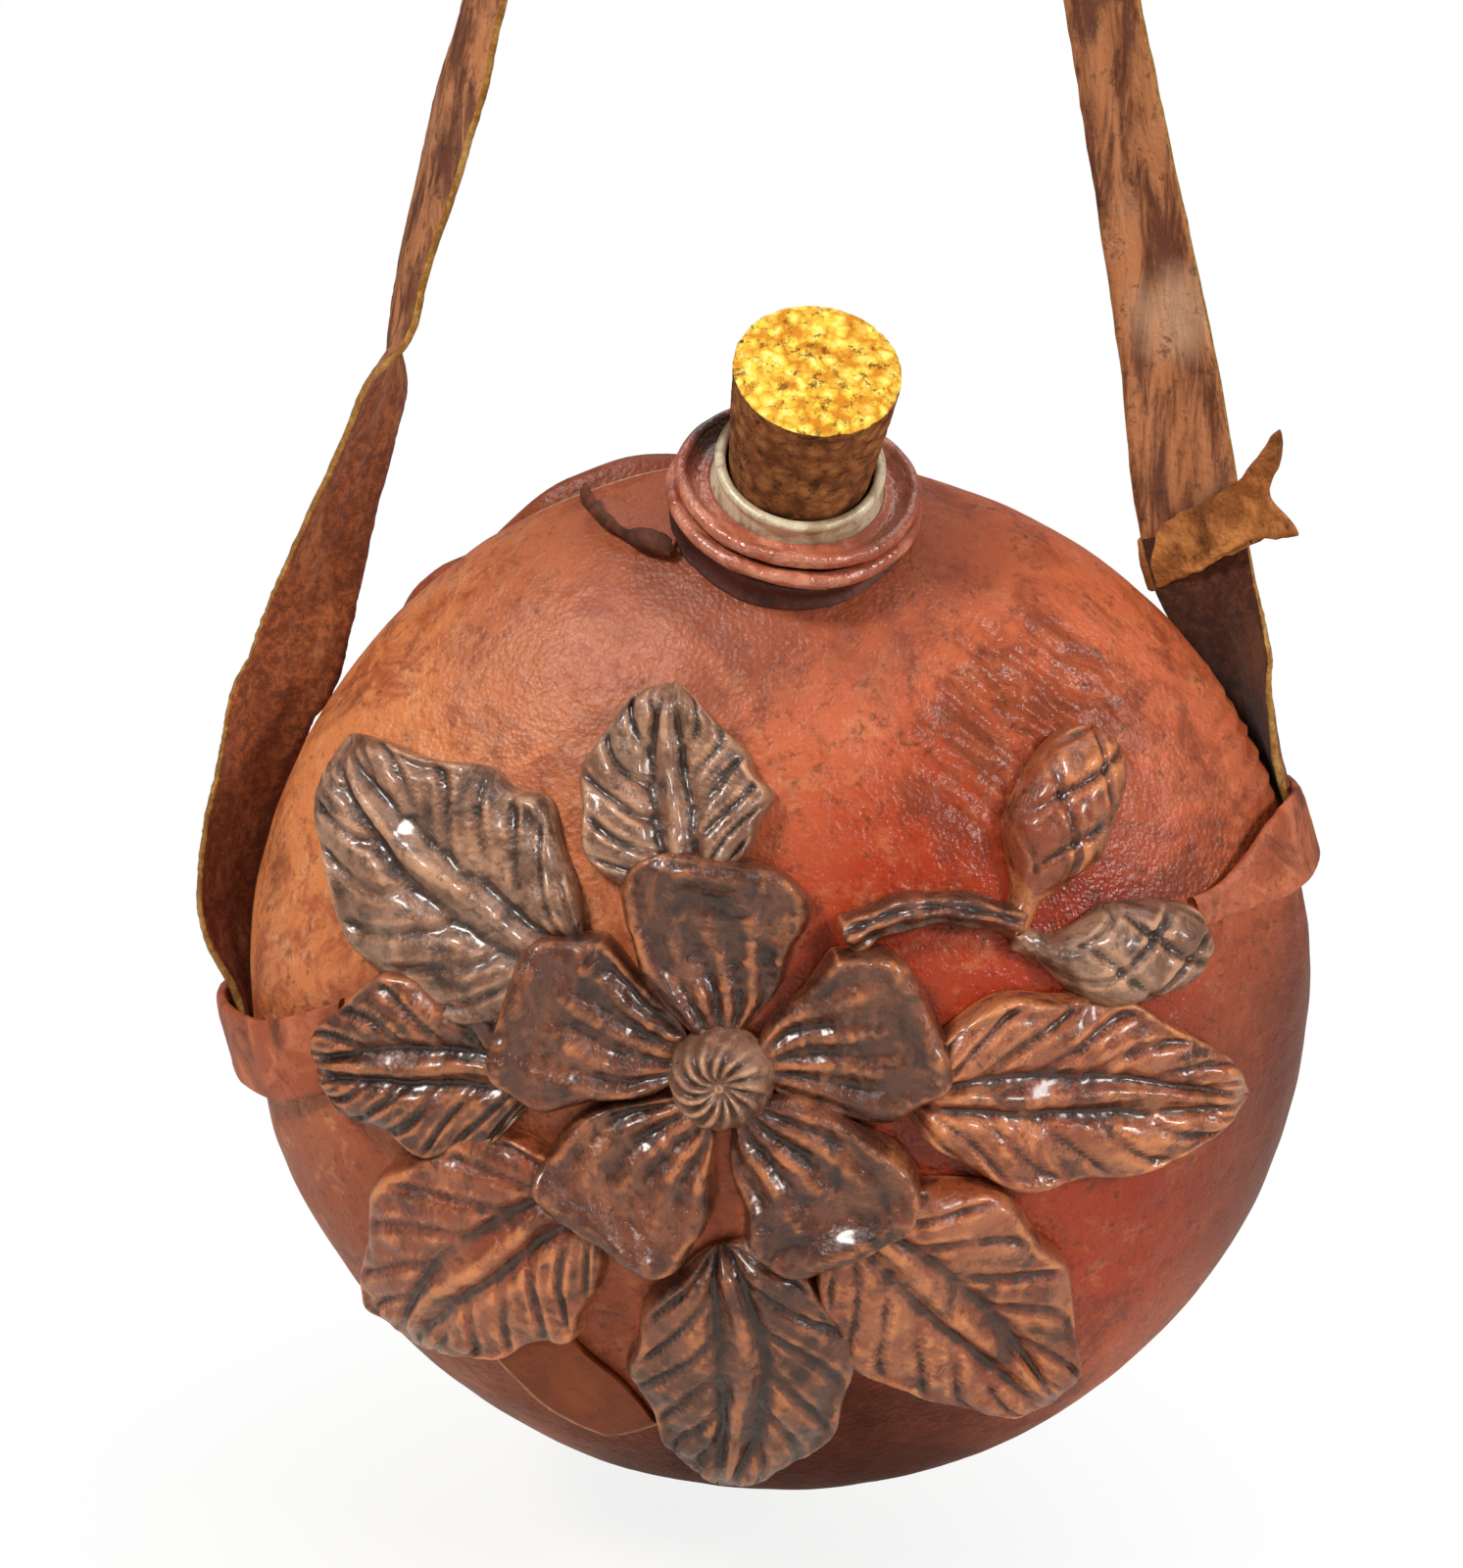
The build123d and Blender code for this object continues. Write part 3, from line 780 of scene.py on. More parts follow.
def side_patch():
    """The extra panel at the lower left, with a pale cut edge on its right side."""
    left_side = ((-71.9, -43.5), (-62, -55), (-53, -67.5), (-44, -78), (-31, -84.5))
    right_side = ((-52, -36), (-46, -48), (-38, -60), (-29, -69), (-22.5, -79.5))
    stand = 1.5
    sheet_thickness = 0.5

    def place(row, column):
        left = Vector(along_rows(left_side, row))
        right = Vector(along_rows(right_side, row))
        spot = left.lerp(right, 0.5 - 0.5 * math.cos(column * math.pi))
        point = on_front(*spot)
        edges = plateau(row, 0, 0.05, 0.95, 1) * plateau(column, 0, 0.06, 0.975, 1)
        rise = 0.30 + cover_relief(point) + 0.18 * lumps(point, 8, 3, 4.4)
        return on_front(*spot, rise + stand * edges)

    def paint_of(row, column):
        return int(column < 0.13 or row > 0.97)

    piece = grid_object("side_patch", 60, 50, place, [grain_patch, cut_edge], paint_of=paint_of)
    return thicken(piece, sheet_thickness)


# Moulded leather on the front

def spray_point(angle, reach):
    """An X and Z given as a direction and distance from the blossom's middle."""
    turn = math.radians(angle)
    return spray_middle + Vector((math.cos(turn), math.sin(turn))) * reach


def spray_spine(angle, root, reach, sway):
    """A line out from the blossom, from its root to its reach, that sways to the side."""
    start = spray_point(angle, root)
    along = spray_point(angle, reach) - start
    aside = Vector((-along.y, along.x)).normalized()
    return lambda share: start + along * share + aside * sway(share)


def table_spine(points):
    """A line through a few points in X and Z."""
    return lambda share: Vector(along_rows(points, share))


def moulded(name, spine, half_width, rise_of, material, rows=84, tops=52):
    """A closed piece of moulded leather that lies on the front along a spine in X and Z."""
    bottoms = 10
    bottom_reach = 0.93
    bottom_lift = 0.2
    end_gap = 0.004
    count = tops + bottoms

    def place(row, column):
        share = end_gap + (1 - 2 * end_gap) * row
        heading = (spine(min(share + 0.01, 1)) - spine(max(share - 0.01, 0))).normalized()
        index = round(column * count)
        if index < tops:
            side = -math.cos(math.pi * index / (tops - 1))
        else:
            side = (1 - 2 * (index - tops + 1) / (bottoms + 1)) * bottom_reach
        spot = spine(share) + Vector((-heading.y, heading.x)) * side * half_width(share, side)
        return on_front(*spot, rise_of(share, side, spot) if index < tops else bottom_lift)

    return grid_object(name, rows, count, place, [material], wrap=True, caps=True)


def make_leaf(name, angle, reach, width, bend, seed, material):
    """A large leaf with a midrib, carved side veins and a rolled, wavy rim."""
    root = 33.0

    def half_width(share, side):
        waves = 1 + 0.055 * math.sin(share * 19 + seed + (2.0 if side > 0 else 0))
        return width / 2 * max(math.sin(math.pi * share**0.78), 0) ** 0.72 * waves

    def rise_of(share, side, spot):
        off = abs(side)
        point = Vector((spot.x, seed, spot.y))
        body = 4.6 + 1.6 * math.sin(math.pi * off) + 1.0 * math.sin(share * 7 + seed)
        body += 1.9 * ridge(side, 0.05 * math.sin(share * 9 + seed), 0.075) * step(1, 0.8, share)
        body -= 1.9 * ridge(off, 0.19, 0.07) * step(1, 0.75, share)
        wave = share * 6.5 - off * 2.3 + 0.25 * math.sin(seed + side)
        vein = (0.5 + 0.5 * math.cos(math.tau * wave)) ** 7
        body -= 1.25 * vein * plateau(off, 0.16, 0.32, 0.82, 0.97) * step(1, 0.85, share)
        body += (1.7 + 1.3 * math.sin(share * 15 + seed * 2 + side)) * ridge(off, 0.93, 0.085)
        body += 0.9 * lumps(point, 10, 3, seed) + 0.32 * lumps(point, 3.2, 3, seed)
        ends = 0.30 + 0.70 * plateau(share, 0, 0.10, 0.86, 1.02)
        return max(0.6 + (body + 0.6) * dome(side, 9) * ends, 0.5)

    spine = spray_spine(angle, root, reach, lambda share: bend * 4 * share * (1 - share))
    return moulded(name, spine, half_width, rise_of, material)


def make_petal(name, angle, reach, seed):
    """A cupped petal with pleats from its root and a thick rolled end."""
    root = 6.5
    widest = 16.6

    def half_width(share, side):
        waves = 1 + 0.05 * math.sin(share * 13 + seed + 3 * side)
        end = dome(max(share - 0.62, 0) / 0.38, 4)
        return widest * min(1.0, (share / 0.6) ** 0.5) * end * waves

    def rise_of(share, side, spot):
        off = abs(side)
        point = Vector((spot.x, seed, spot.y))
        body = 3.4 + 5.4 * step(0.05, 0.80, share) + 1.5 * side
        body -= 2.2 * (1 - off) ** 1.2 * plateau(share, 0.1, 0.5, 0.7, 0.96)
        body += 2.0 * ridge(share, 0.87, 0.075) * (1 + 0.4 * math.sin(side * 5 + seed))
        body += 1.2 * ridge(off, 0.90, 0.10) * step(0.15, 0.5, share)
        fan = math.cos(side * 15 + 2.2 * math.sin(share * 5 + seed) + seed)
        body += 0.75 * fan * plateau(share, 0.0, 0.2, 0.45, 0.9)
        body += 0.75 * lumps(point, 8, 3, seed) + 0.28 * lumps(point, 2.8, 3, seed)
        return max(0.6 + body * dome(side, 8) * (0.25 + 0.75 * step(1.02, 0.93, share)), 0.5)

    def sway(share):
        return 1.6 * math.sin(seed) * math.sin(math.pi * share)

    return moulded(name, spray_spine(angle, root, reach, sway), half_width, rise_of, relief_dark)


def blossom_button():
    """A gathered button whose pleats run into a pit at its centre."""
    radius = 9.6
    height = 13.6
    pit = 3.4
    pleats = 13

    def place(row, column):
        out = radius * math.sin(row * math.pi / 2 * 1.06)
        pleat = 0.75 * math.cos(pleats * (column * math.tau + 0.9 * row))
        pleat *= plateau(row, 0.05, 0.35, 0.8, 1.0)
        rise = height * dome(out / (radius + 0.1), 2.6) - pit * ridge(row, 0, 0.24)
        spot = spray_point(360 * column, out)
        grain = 0.3 * lumps((spot.x, 0, spot.y), 2.4, 3, 7.0)
        return on_front(*spot, max(rise + pleat + grain, 0.3))

    return grid_object("blossom_button", 34, 130, place, [relief_grey], wrap=True)


def make_bud(name, points, seed, material):
    """A closed bud on a short neck, wrapped by two crossing folds."""
    neck = 2.6
    swell = 7.2

    def half_width(share, side):
        tip = max(1 - (max(share - 0.55, 0) / 0.45) ** 2.4, 0) ** 0.6
        return neck * plateau(share, 0, 0.05, 0.9, 1) + swell * step(0.16, 0.52, share) * tip

    def rise_of(share, side, spot):
        point = Vector((spot.x, seed, spot.y))
        body = 4.6 + 6.0 * plateau(share, 0.15, 0.50, 0.78, 1.06)
        slant = side * 0.9 + 0.2 * math.sin(seed)
        first = (share * 3.1 + slant) % 1.0
        second = (share * 3.1 - slant) % 1.0
        folds = ridge(first, 0.5, 0.10) + 0.8 * ridge(second, 0.5, 0.08)
        body += 0.6 * lumps(point, 5, 3, seed) - 1.5 * folds * step(0.22, 0.4, share)
        return max(0.4 + body * dome(side, 2.6) * step(1.01, 0.93, share), 0.4)

    return moulded(name, table_spine(points), half_width, rise_of, material, 64, 40)


def bud_stem():
    """The wrinkled stalk from the blossom to the two buds."""
    points = [tuple(spray_point(a, r)) for a, r in ((49, 33), (45, 40), (39, 48), (32, 55), (26, 61))]

    def half_width(share, side):
        return (3.9 - 0.9 * share + 0.35 * math.sin(share * 21)) * step(0, 0.03, share)

    def rise_of(share, side, spot):
        rings = 0.45 * math.sin(share * 34 + 2 * side)
        grooves = 0.5 * math.cos(side * 9 + 3 * share)
        return max(0.4 + (5.6 + rings + grooves) * dome(side, 2.4) * step(1.0, 0.95, share), 0.4)

    return moulded("bud_stem", table_spine(points), half_width, rise_of, relief_dark, 60, 30)


# Neck, collar and cork

def on_collar(radius, angle, height):
    """A point about the collar's axis, which leans from the neck's towards the leather's."""
    turn = math.radians(angle)
    upward = neck_up * math.cos(collar_lean) - neck_axis * math.sin(collar_lean)
    axis = neck_axis * math.cos(collar_lean) + neck_up * math.sin(collar_lean)
    out = neck_across * math.cos(turn) + upward * math.sin(turn)
    squeeze = 1 - 0.34 * max(math.sin(turn), 0)
    reach = ring_foot_radius + (radius - ring_foot_radius) * squeeze
    pivot = neck_foot + neck_axis * (collar_pivot - collar_drop)
    return pivot + axis * (height - collar_pivot) + out * reach


def turned_piece(name, section, material, steps=150, about=on_neck):
    """A closed ring about the neck's axis whose section is given at every angle."""
    points = []
    for index in range(steps):
        angle = 360 * index / steps
        points.extend(about(radius, angle, height) for radius, height in section(angle))
    count = len(points) // steps
    faces = []
    for index in range(steps):
        here = index * count
        after = (index + 1) % steps * count
        for spot in range(count):
            follow = (spot + 1) % count
            faces.append((here + spot, here + follow, after + follow, after + spot))
    return face_outwards(mesh_object(name, points, faces, [material]))


def ring_noise(angle, size, seed):
    """Smooth noise round the neck that meets itself."""
    turn = math.radians(angle)
    return noise.noise(Vector((math.cos(turn), math.sin(turn), seed)) * size)


def mouth_ring():
    """The pale ring with its rounded lip and a wall that flares at its foot."""
    bore = 13.7
    foot = -11.8

    def section(angle):
        wear = 0.12 * ring_noise(angle, 2.5, 3)
        return [
            (bore, foot), (15.3, foot), (15.35, 4.0), (16.4, 7.2 + wear), (16.2, 8.6),
            (15.6 + wear, 10.2), (15.25 + wear, 11.8), (15.3, 12.5), (15.75, 12.9),
            (15.95 + wear, 13.5), (15.75, 14.2), (15.2, 14.6 + wear), (14.5, 14.6 + wear),
            (13.95, 14.3), (bore, 13.7), (bore, 8.0),
        ]
    return soften(turned_piece("mouth_ring", section, ring_metal, 110))


def rolled_ridge(name, outer, low, high, width, seed):
    """One leather ridge of the collar, pinched and uneven."""
    corners = 20

    def section(angle):
        out = outer + 0.55 * ring_noise(angle, 1.6, seed) + 0.2 * ring_noise(angle, 6, seed)
        middle = (low + high) / 2 + 0.45 * ring_noise(angle, 1.4, seed + 4)
        tall = (high - low) / 2 * (1 + 0.18 * ring_noise(angle, 3.1, seed + 8))
        points = []
        for index in range(corners):
            turn = math.tau * index / corners
            across = math.cos(turn)
            lip = 0.25 * max(across, 0)
            points.append((out + width / 2 * (across - 1), middle + tall * (math.sin(turn) + lip)))
        return points
    return turned_piece(name, section, grain_collar, 220, on_collar)


def collar_washer():
    """The dished leather disc between the mouth ring and the ridges."""
    foot = 5.0

    def section(angle):
        wave = 0.35 * ring_noise(angle, 2.2, 1) + 0.12 * ring_noise(angle, 9, 5)
        ripple = 0.26 * ring_noise(angle, 13, 9)
        return [
            (ring_foot_radius, foot), (ring_foot_radius, 7.9 + ripple), (16.6, 8.5 + wave),
            (17.4, 8.1 + wave + 1.6 * ripple), (18.2, 7.95 + wave), (19.0, 8.2 + wave - ripple),
            (19.8, 8.8 + wave), (20.6, 9.5 + wave + ripple), (21.2, 10.1 + wave), (21.4, 9.4),
            (20.9, 8.4), (19.3, foot),
        ]
    return soften(turned_piece("collar_washer", section, grain_collar, 180, on_collar))


def leather_level(radius, angle):
    """The height along the neck's axis at which the body's leather is met, by halving."""
    low = -24.0
    high = 6.0
    for _ in range(24):
        middle = (low + high) / 2
        if above_body(on_neck(radius, angle, middle)) > 0:
            high = middle
        else:
            low = middle
    return high


def collar_wall():
    """The leather ring at the foot of the collar, fitted to the shoulder, painted near black as shade
    under the rolls.
    """
    inner = 16.2
    outer_middle = 21.9
    shoulder = 3.4

    def section(angle):
        outer = outer_middle + 0.35 * ring_noise(angle, 2.4, 6) + 0.2 * ring_noise(angle, 8, 2)
        foot = leather_level(outer, angle)
        return [
            (inner, leather_level(inner, angle) + 0.2), (inner, 3.9), (outer - 0.8, 4.1),
            (outer, shoulder), (outer - 0.5, shoulder * 0.6 + foot * 0.4),
            (outer - 0.1, shoulder * 0.2 + foot * 0.8), (outer + 0.9, foot + 0.5),
            (outer + 1.1, foot + 0.15), (outer - 1.0, foot + 0.1),
        ]
    return soften(turned_piece("collar_wall", section, wall_shade, 150))


def collar_flap():
    """A torn tongue of leather, thin, with its free edge curled up and over. The curl is painted near
    black as the shade under the raised edge.
    """
    edge = ((-19.5, 90.4), (-23.5, 91.2), (-27.5, 92.3), (-31.5, 94.2), (-35.6, 97.6))
    flat_share = 0.45
    curl_turn = math.radians(200)
    thickness = 0.7

    def place(row, column):
        along = heading_at(edge, row, 0.02)
        upward = Vector((along.y, -along.x))
        spot = Vector(along_rows(edge, row))
        if column < flat_share:
            share = column / flat_share
            spot += upward * (7.0 - 2.5 * row) * (1 - share)
            return on_front(*spot, 0.3 + 0.9 * share * share)
        torn = 0.5 * lumps((row * 16, 3, 0), 3, 3, 2.0)
        curl = (column - flat_share) / (1 - flat_share)
        radius = (0.95 + 0.35 * math.sin(row * 7)) * (1.1 - 0.5 * ridge(row, 0.55, 0.12))
        swing = curl * curl_turn
        spot -= upward * (radius * math.sin(swing) + torn * curl)
        return on_front(*spot, 1.2 + radius * (1 - math.cos(swing)) + 1.6 * row * curl)

    # The curled half takes the painted shade
    def paint_of(row, column):
        return int(column > 0.5)

    piece = grid_object("collar_flap", 40, 34, place, [grain_body, curl_shade], paint_of=paint_of)
    return soften(thicken(piece, -thickness))


def cork_stopper():
    """The tapered cork, with crumbly granules on its top and chips along its rim."""
    foot = 0.8
    top = 40.2
    top_radius = 15.0
    rim = 0.7
    mouth_radius = 13.3
    taper = 0.067
    side_share = 0.56

    def place(row, column):
        angle = 360 * column
        on_side = row < side_share
        if on_side:
            share = row / side_share
            height = foot + (top - rim - foot) * share
            radius = mouth_radius + taper * (height - ring_lip_height)
        else:
            share = (row - side_share) / (1 - side_share)
            height = top - 0.5 * step(0.12, 0.0, share)
            radius = top_radius * (1 - share) ** 0.9
        spot = on_neck(radius, angle, height)
        grain = lumps(spot, 2.3, 2, 4.0)
        crumb = lumps(spot, 1.1, 2, 9.0)
        if on_side:
            radius += (0.20 * grain + 0.10 * crumb) * step(0.5, 3, height - ring_lip_height)
            radius -= 0.72 * step(0.86, 1.0, share) * max(grain, 0)
        else:
            chips = 0.8 * step(0.2, 0.0, share)
            height += 0.45 * grain + 0.30 * crumb - chips * max(grain, 0)
            radius -= chips * max(crumb, 0)
        return on_neck(max(radius, 0.02), angle, height)

    def paint_of(row, column):
        return int(row <= side_share - 0.008)

    return grid_object("cork_stopper", 110, 200, place, [cork_top, cork_side],
                       wrap=True, caps=True, paint_of=paint_of)


# Loops at the sides

def squared(value, power):
    """A sine or cosine pushed towards 1 or -1, so that a round section turns square."""
    return math.copysign(abs(value) ** power, value)


def loop_section(side, row, column, half_height, half_thickness, reach):
    """The place on the body under a loop, and the height and thickness of its section there."""
    depth = reach * math.sin(0.93 * math.radians(200 * row - 100))
    across = 0.985 * side * body_radius * math.sqrt(1 - (depth / body_half_depth) ** 2)
    around = column * math.tau
    height = half_height * squared(math.sin(around), 0.35)
    thick = half_thickness * squared(math.cos(around), 0.5)
    return Vector((across, depth, 0)), height, thick


def loop_object(name, place):
    """A closed band whose rows run from the front to the back."""
    return grid_object(name, 110, 40, place, [grain_loop], wrap=True, caps=True)


def left_loop():
    """The left band: a thick strip with a rolled upper end that narrows into the body."""
    half_height = 8.4
    half_thickness = 1.25
    reach = 34.5

    def place(row, column):
        base, height, thick = loop_section(-1, row, column, half_height, half_thickness, reach)
        stand = plateau(row, 0.0, 0.30, 0.70, 1.0)
        bulge = stand * 6.0 * (0.45 + 0.55 * (height / half_height + 1) / 2)
        bulge += 1.4 if height > 0 else 1.25
        wave = 0.35 * lumps(base + Vector((0, 0, height)), 9, 3, 6.0)
        point = base + outward(base) * (bulge + thick + wave)
        point.z = height - 5.6 + 0.27 * max(95 + base.x, 0) - 3.0 * stand
        return point

    return loop_object("left_loop", place)


def right_loop():
    """The right band: a flat strip that slants up over the side, creased across."""
    half_height = 8.0
    half_thickness = 1.0
    reach = 35.0
    tilt = math.radians(17.5)

    def place(row, column):
        base, height, thick = loop_section(1, row, column, half_height, half_thickness, reach)
        bulge = 1.0 + 4.1 * plateau(row, 0.0, 0.34, 0.66, 1.0)
        crease = 0.16 * math.sin(row * 60 + height * 0.2) * step(0.25, 0.4, row)
        wave = 0.35 * lumps(base + Vector((0, 0, height)), 8, 3, 3.0) + crease
        flat = base + outward(base) * (bulge + thick + wave)
        narrowed = step(101, 84, base.x) * step(0.5, 0.3, row)
        up = height * (1 - 0.62 * narrowed) + 2.0 - 2.8 * narrowed
        return Vector((
            flat.x * math.cos(tilt) - up * math.sin(tilt), flat.y,
            flat.x * math.sin(tilt) + up * math.cos(tilt),
        ))

    return loop_object("right_loop", place)


# Strap and keeper

# A place on the strap: its height as a share of the body's radius up to 1 and of the way
# to the hook beyond 1, its distance out as a share of the body's radius, its set to the
# back and its width as shares of the strap's width, and the turn of its flat in degrees.
left_run_shares = (
    (-0.1682, 1, 0, 0.62, 0),
    (-0.0187, 1.0215, 0, 0.64, 0),
    (0.0748, 1.0439, 0.1, 0.8, -22),
    (0.1495, 1.0495, 0.15, 0.88, -30),
    (0.2271, 1.0402, 0.15, 0.92, -33),
    (0.3019, 1.0243, 0.15, 0.95, -35),
    (0.3776, 1.0019, 0.15, 0.95, -38),
    (0.4514, 0.9785, 0.15, 0.95, -45),
    (0.5262, 0.9533, 0.15, 0.95, -56),
    (0.6, 0.9093, 0.1, 0.95, -64),
    (0.6729, 0.8841, 0.08, 0.93, -60),
    (0.7458, 0.8589, 0.05, 0.92, -51),
    (0.8907, 0.8075, 0, 0.87, -37),
    (1.0123, 0.7533, 0, 0.82, -26),
    (1.0478, 0.7178, 0, 0.8, -18),
    (1.0785, 0.6944, 0, 0.8, 18),
    (1.116, 0.671, 0, 0.8, 24),
    (1.1911, 0.6103, 0, 0.82, 33),
    (1.2403, 0.572, 0, 0.84, 36),
    (1.2894, 0.5336, 0, 0.84, 32),
    (1.4812, 0.3701, 0, 0.82, 28),
    (1.727, 0.1664, 0, 0.8, 16),
    (1.9181, 0.0075, 0, 0.8, 4),
)
right_run_shares = (
    (0.28, 0.98, 0, 0.56, 0),
    (0.33, 0.962, 0, 0.56, 0),
    (0.3888, 0.936, 0, 0.57, 0),
    (0.4916, 0.8985, 0.08, 0.86, 11),
    (0.5757, 0.8668, 0.1, 0.92, 24),
    (0.6523, 0.8365, 0.08, 0.93, 43),
    (0.7271, 0.803, 0.1, 0.97, 59),
    (1.0744, 0.6991, 0.1, 0.92, 66),
    (1.1908, 0.629, 0.05, 0.82, 60),
    (1.2894, 0.5682, 0, 0.78, 52),
    (1.4539, 0.4748, 0, 0.8, 44),
    (1.6587, 0.3589, 0, 0.8, 30),
    (1.8362, 0.2589, 0, 0.8, 12),
    (1.9317, 0.2047, 0, 0.8, 2),
)
keeper_rows = right_run_shares[6:8]


def run_rows(side, shares):
    """Rows of X, Y, Z, width and turn along one run of the strap, or a part of it."""
    rows = []
    for height, out, back, width, turn in shares:
        beyond = max(height - 1, 0)
        up = (height - beyond) * body_radius + beyond * (hook_rise - body_radius)
        rows.append((side * out * body_radius, back * strap_width, up, width * strap_width, turn))
    return rows


def strap_rows():
    """Every row along the strap, from its left end over the hook to its right end."""
    bend = hook_radius + strap_thickness / 2
    arch = []
    for angle in (160, 125, 90, 55, 20):
        turn = math.radians(angle)
        arch.append((
            hook_offset + bend * math.cos(turn), 0.0,
            hook_rise - hook_radius + bend * math.sin(turn), 0.8 * strap_width, 0,
        ))
    right = [(*row[:4], -row[4]) for row in run_rows(1, right_run_shares)]
    return run_rows(-1, left_run_shares) + arch + right[::-1]


def turned_flat(along, turn):
    """The direction across the strap's flat, at a turn in degrees, and the one out of it."""
    across = along.cross(Vector((0, 1, 0))).normalized()
    angle = math.radians(turn)
    flat = Vector((0, math.cos(angle), 0)) + across * math.sin(angle)
    flat = (flat - along * flat.dot(along)).normalized()
    return flat, along.cross(flat)


def shoulder_strap():
    """One leather strip with a smooth side, a rough side, pale ragged edges and painted shade on the
    rough side below the keeper.
    """
    rows = strap_rows()
    grain_run = 260
    stiff_run = 45
    tops = 15
    edge_side = 1.03
    edge_level = 0.35
    flesh_until = 0.62
    grain_until = 0.845
    section = [(-1 + 2 * index / (tops - 1), 1.0) for index in range(tops)]
    section += [(edge_side, edge_level), (edge_side, -edge_level)]
    section += [(-side, -level) for side, level in section]
    count = len(section)

    def place(row, column):
        *point, width, turn = along_rows(rows, row)
        flat, out = turned_flat(heading_at(rows, row, 0.002), turn)
        side, level = section[round(column * count)]
        far = grain_run * row
        slow, fast, seed = (0, 4, 1.0) if side > 0 else (9, 7, 5.0)
        ragged = 0.30 * lumps((far, slow, 0), 4.5, 3, seed) + 0.22 * lumps((far, fast, 0), 0.8, 2, seed)
        bow = width * (0.055 * (1 - side * side) - 0.02)
        crease = 0.28 * math.sin(side * 7 + 2.5 * lumps((far, 2, 1), 16, 2, 2.0))
        lift = 0.16 * lumps((far, side * 6, 3), 2.6, 3, 4.0)
        thick = strap_thickness / 2 * level * (1.0 - 0.25 * abs(side) ** 6)
        slack = step(0, stiff_run, hook_rise + strap_thickness - point[2])
        rise = thick + (bow + crease + lift) * slack
        return Vector(point) + flat * side * (width / 2 + ragged) + out * rise

    def paint_of(row, column):
        index = round(column * count)
        if index < tops - 1:
            return 0
        if index < tops + 2 or index > 2 * tops:
            return 2
        if row < flesh_until:
            return 1
        # Below the keeper the rough side takes the painted shade
        return 0 if row < grain_until else 3

    return grid_object("shoulder_strap", 620, count, place,
                       [grain_strap, flesh_strap, edge_strap, strap_shade],
                       wrap=True, caps=True, paint_of=paint_of)


def strap_keeper():
    """A strip wrapped round the strap, with a forked tail that springs off at the right."""
    rise = 11.5
    half_height = 6.2
    fork = 0.42
    slope = 0.34
    drop = 1.5
    band_thickness = 1.7
    tail_thickness = 1.6
    lower, upper = run_rows(1, keeper_rows)
    up = (Vector(upper[:3]) - Vector(lower[:3])).normalized()
    flat, back = turned_flat(up, 180 + lower[4])
    middle = Vector(lower[:3]) + up * rise
    half = lower[3] / 2 + 0.4
    room = strap_thickness / 2 + 0.5

    def on_keeper(reach, depth, high, from_reach):
        """A point by its reach along the flat, its depth behind it and its height."""
        slant = slope * (from_reach + half) - drop
        return middle + flat * reach + back * depth + up * (high + slant)

    def wrap_place(share):
        """The reach and depth of the band, from the front's right round to the back."""
        front = 0.42
        left = 0.55
        rear = 0.90
        if share < front:
            return half - 2 * half * share / front, -room - 0.25
        if share < left:
            turn = math.pi * (share - front) / (left - front)
            return -half - (room + 0.6) * math.sin(turn), -room * math.cos(turn)
        if share < rear:
            return -half + 2 * half * (share - left) / (rear - left), room
        turn = math.pi * (share - rear) / (1 - rear)
        return half + (room + 0.2) * math.sin(turn), room * math.cos(turn)

    def band(row, column):
        reach, depth = wrap_place(row)
        side = 2 * column - 1
        high = side * (half_height - 0.8 * ridge(row, 0.48, 0.06))
        swell = 0.5 * ridge(column, 0.5, 0.3) + 0.35 * lumps((reach, high, depth), 5, 3, 2.0)
        ragged = 0.5 * lumps((reach, depth, 3 if high > 0 else 8), 3, 3, 1.0)
        out = Vector((reach * 0.15, depth)).normalized() * (swell + 1.0)
        return on_keeper(reach + out.x, depth + out.y, high + ragged * side, reach)

    def tail(row, column):
        reach = half - 7 + 19.5 * row
        open_up = step(0.35, 1.0, row)
        notch = 5.4 * step(0.5, 1.0, row) * ridge(column, fork, 0.26)
        high = -5.6 + 11.6 * column + 9.5 * open_up * (column - fork)
        high += 0.4 * lumps((reach, column * 9, 2), 3, 3, 6.0)
        curl = 2.4 * open_up * (abs(column - fork) * 2) ** 1.5
        depth = -room - 1.35 - 0.5 * open_up - curl + 0.35 * lumps((reach, high, 0), 4, 3, 3.0)
        return on_keeper(reach - notch, depth, high, reach)

    wrapped = grid_object("keeper_band", 110, 18, band, [keeper_leather])
    forked = grid_object("keeper_tail", 40, 30, tail, [keeper_leather])
    return soften(thicken(wrapped, band_thickness)), soften(thicken(forked, tail_thickness))


# Putting it all together

def paint_gourd():
    """The gourd keeps its shape and takes the paint of dry gourd."""
    for slot in bpy.data.objects["gourd_shell"].material_slots:
        slot.material = gourd_skin


def add(piece, node, body="bottle"):
    """Puts a piece on its body, in place of the solid that it stands for, which it hides."""
    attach(piece, body)
    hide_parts(node)


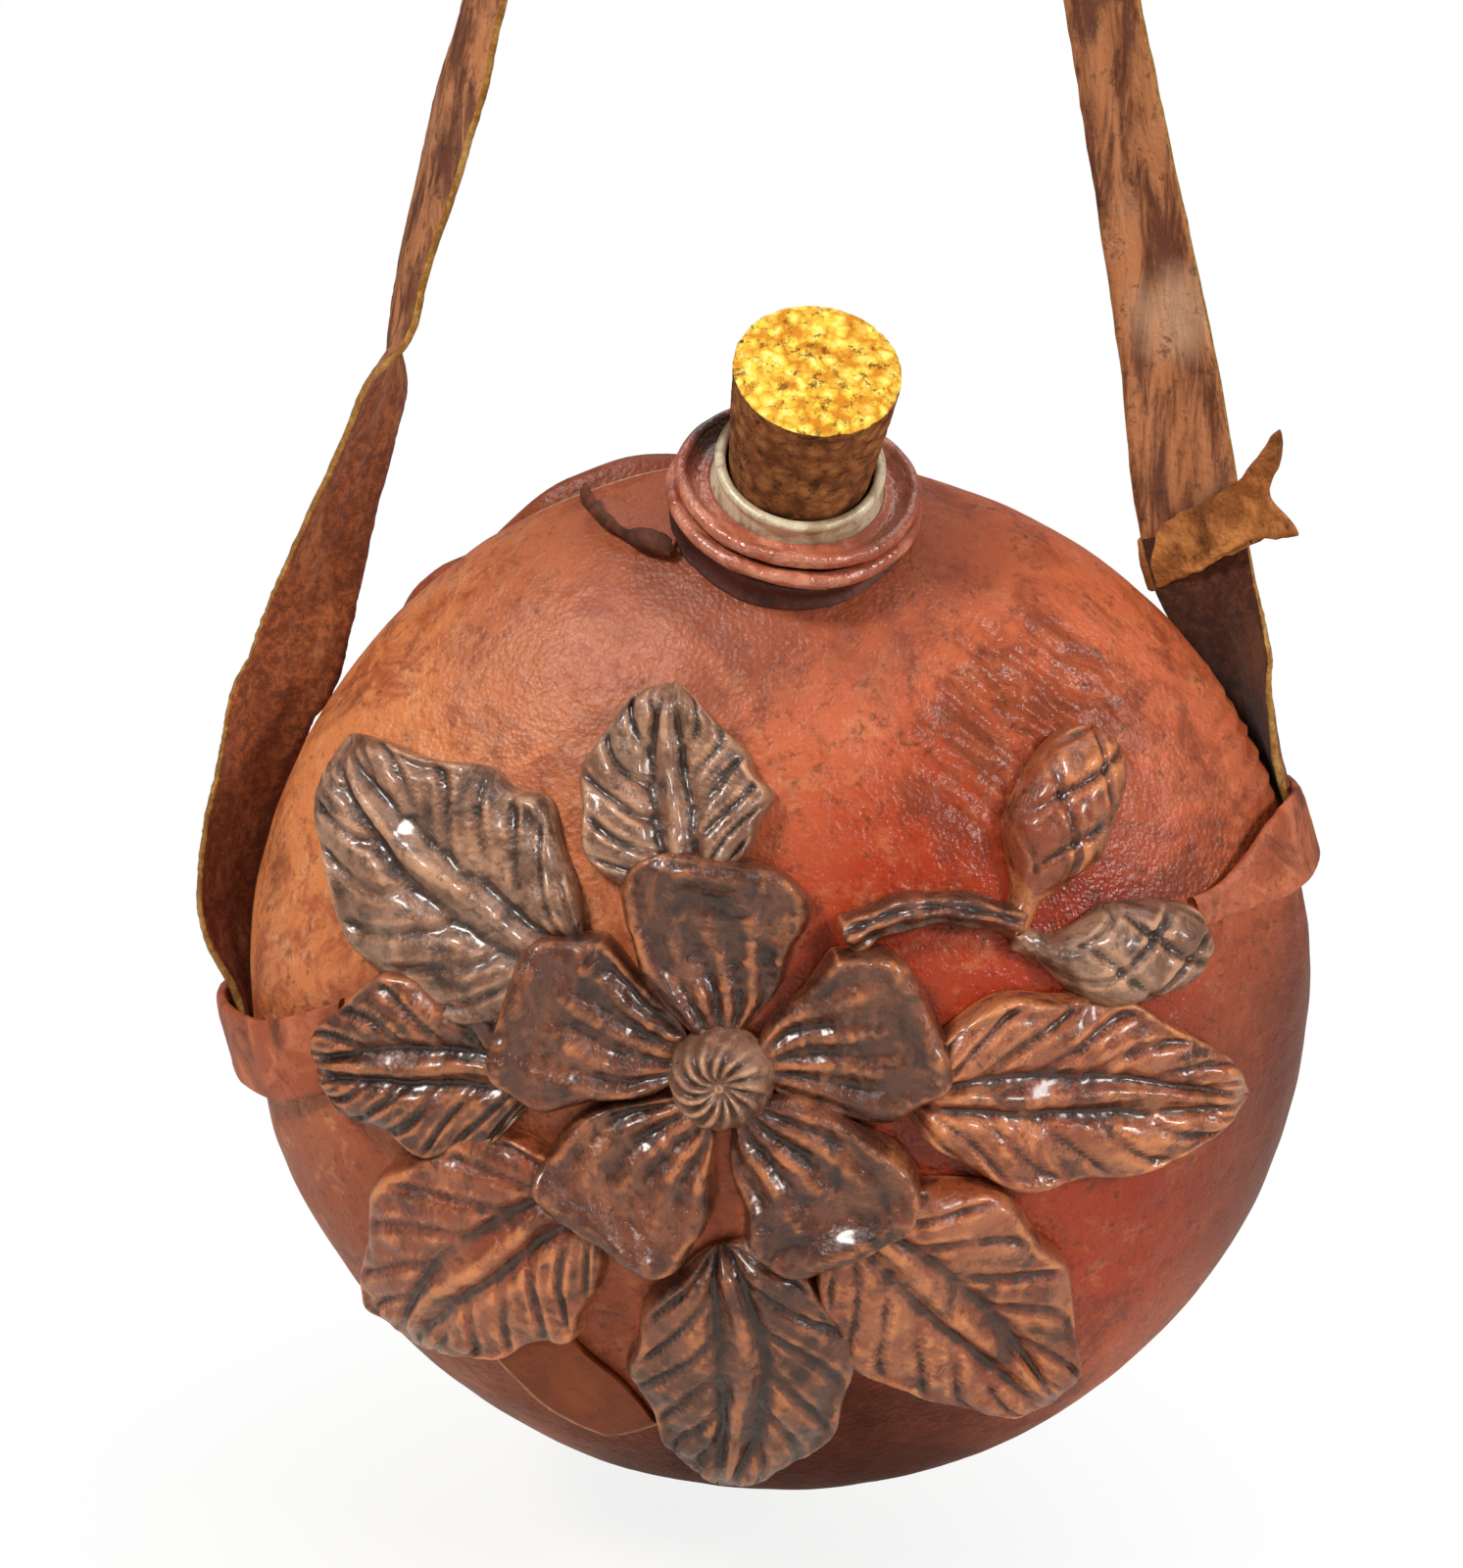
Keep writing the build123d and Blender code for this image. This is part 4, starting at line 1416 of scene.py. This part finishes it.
def build_relief():
    """The leaves, the petals and the rest of the moulded leather on the front."""
    for name, angle, reach, width, bend, seed, material in (
        ("leaf_top", 97, 70, 35, 3.0, 0.4, relief_grey),
        ("leaf_upper_left", 141, 90, 46, 6.0, 1.7, relief_grey),
        ("leaf_left", 184, 78, 36, -3.0, 2.9, relief_dark),
        ("leaf_lower_left", 226, 89, 46, -6.0, 4.1, relief_warm),
        ("leaf_bottom", 269, 92, 43, 5.0, 5.3, relief_dark),
        ("leaf_lower_right", 311, 97, 44, 2.0, 6.6, relief_warm),
        ("leaf_right", 354, 99, 38, 2.0, 7.8, relief_warm),
    ):
        leaf = make_leaf(name, angle, reach, width, bend, seed, material)
        add(leaf, name)
    for index, reach in enumerate((40.5, 41.5, 39.5, 42.0, 40.0)):
        name = f"petal_{index + 1}"
        petal = make_petal(name, 90 + 72 * index, reach, 2.3 * index + 1)
        add(petal, name)
    upper = ((42, 23), (45.5, 31), (49.5, 40), (53.5, 49), (58.5, 59))
    lower = ((42, 23), (50, 19.5), (60, 18), (69, 18.6), (79.5, 20))
    add(blossom_button(), "blossom_button")
    add(bud_stem(), "bud_stem")
    add(make_bud("bud_upper", upper, 1.0, relief_warm), "bud_upper")
    add(make_bud("bud_lower", lower, 2.0, relief_grey), "bud_lower")


def build_pieces():
    """Makes every visible piece and puts it on its body."""
    add(front_cover(), "front_cover")
    add(back_cover(), "back_cover")
    add(side_patch(), "side_patch")
    build_relief()
    add(mouth_ring(), "mouth_ring")
    add(collar_washer(), "collar_washer")
    for name, outer, low, high, width, seed in (
        ("collar_lower_roll", 24.4, 3.7, 7.1, 3.4, 2.0),
        ("collar_upper_roll", 23.2, 7.6, 10.8, 2.6, 7.0),
    ):
        add(rolled_ridge(name, outer, low, high, width, seed), name)
    add(collar_wall(), "collar_wall")
    add(collar_flap(), "collar_flap")
    add(cork_stopper(), "cork_stopper", "cork")
    add(left_loop(), "left_loop")
    add(right_loop(), "right_loop")
    add(shoulder_strap(), "shoulder_strap", "strap")
    for piece in strap_keeper():
        add(piece, "strap_keeper", "keeper")


add_camera()
add_surroundings()
build_pieces()
paint_gourd()
bpy.context.scene.view_settings.view_transform = "Standard"
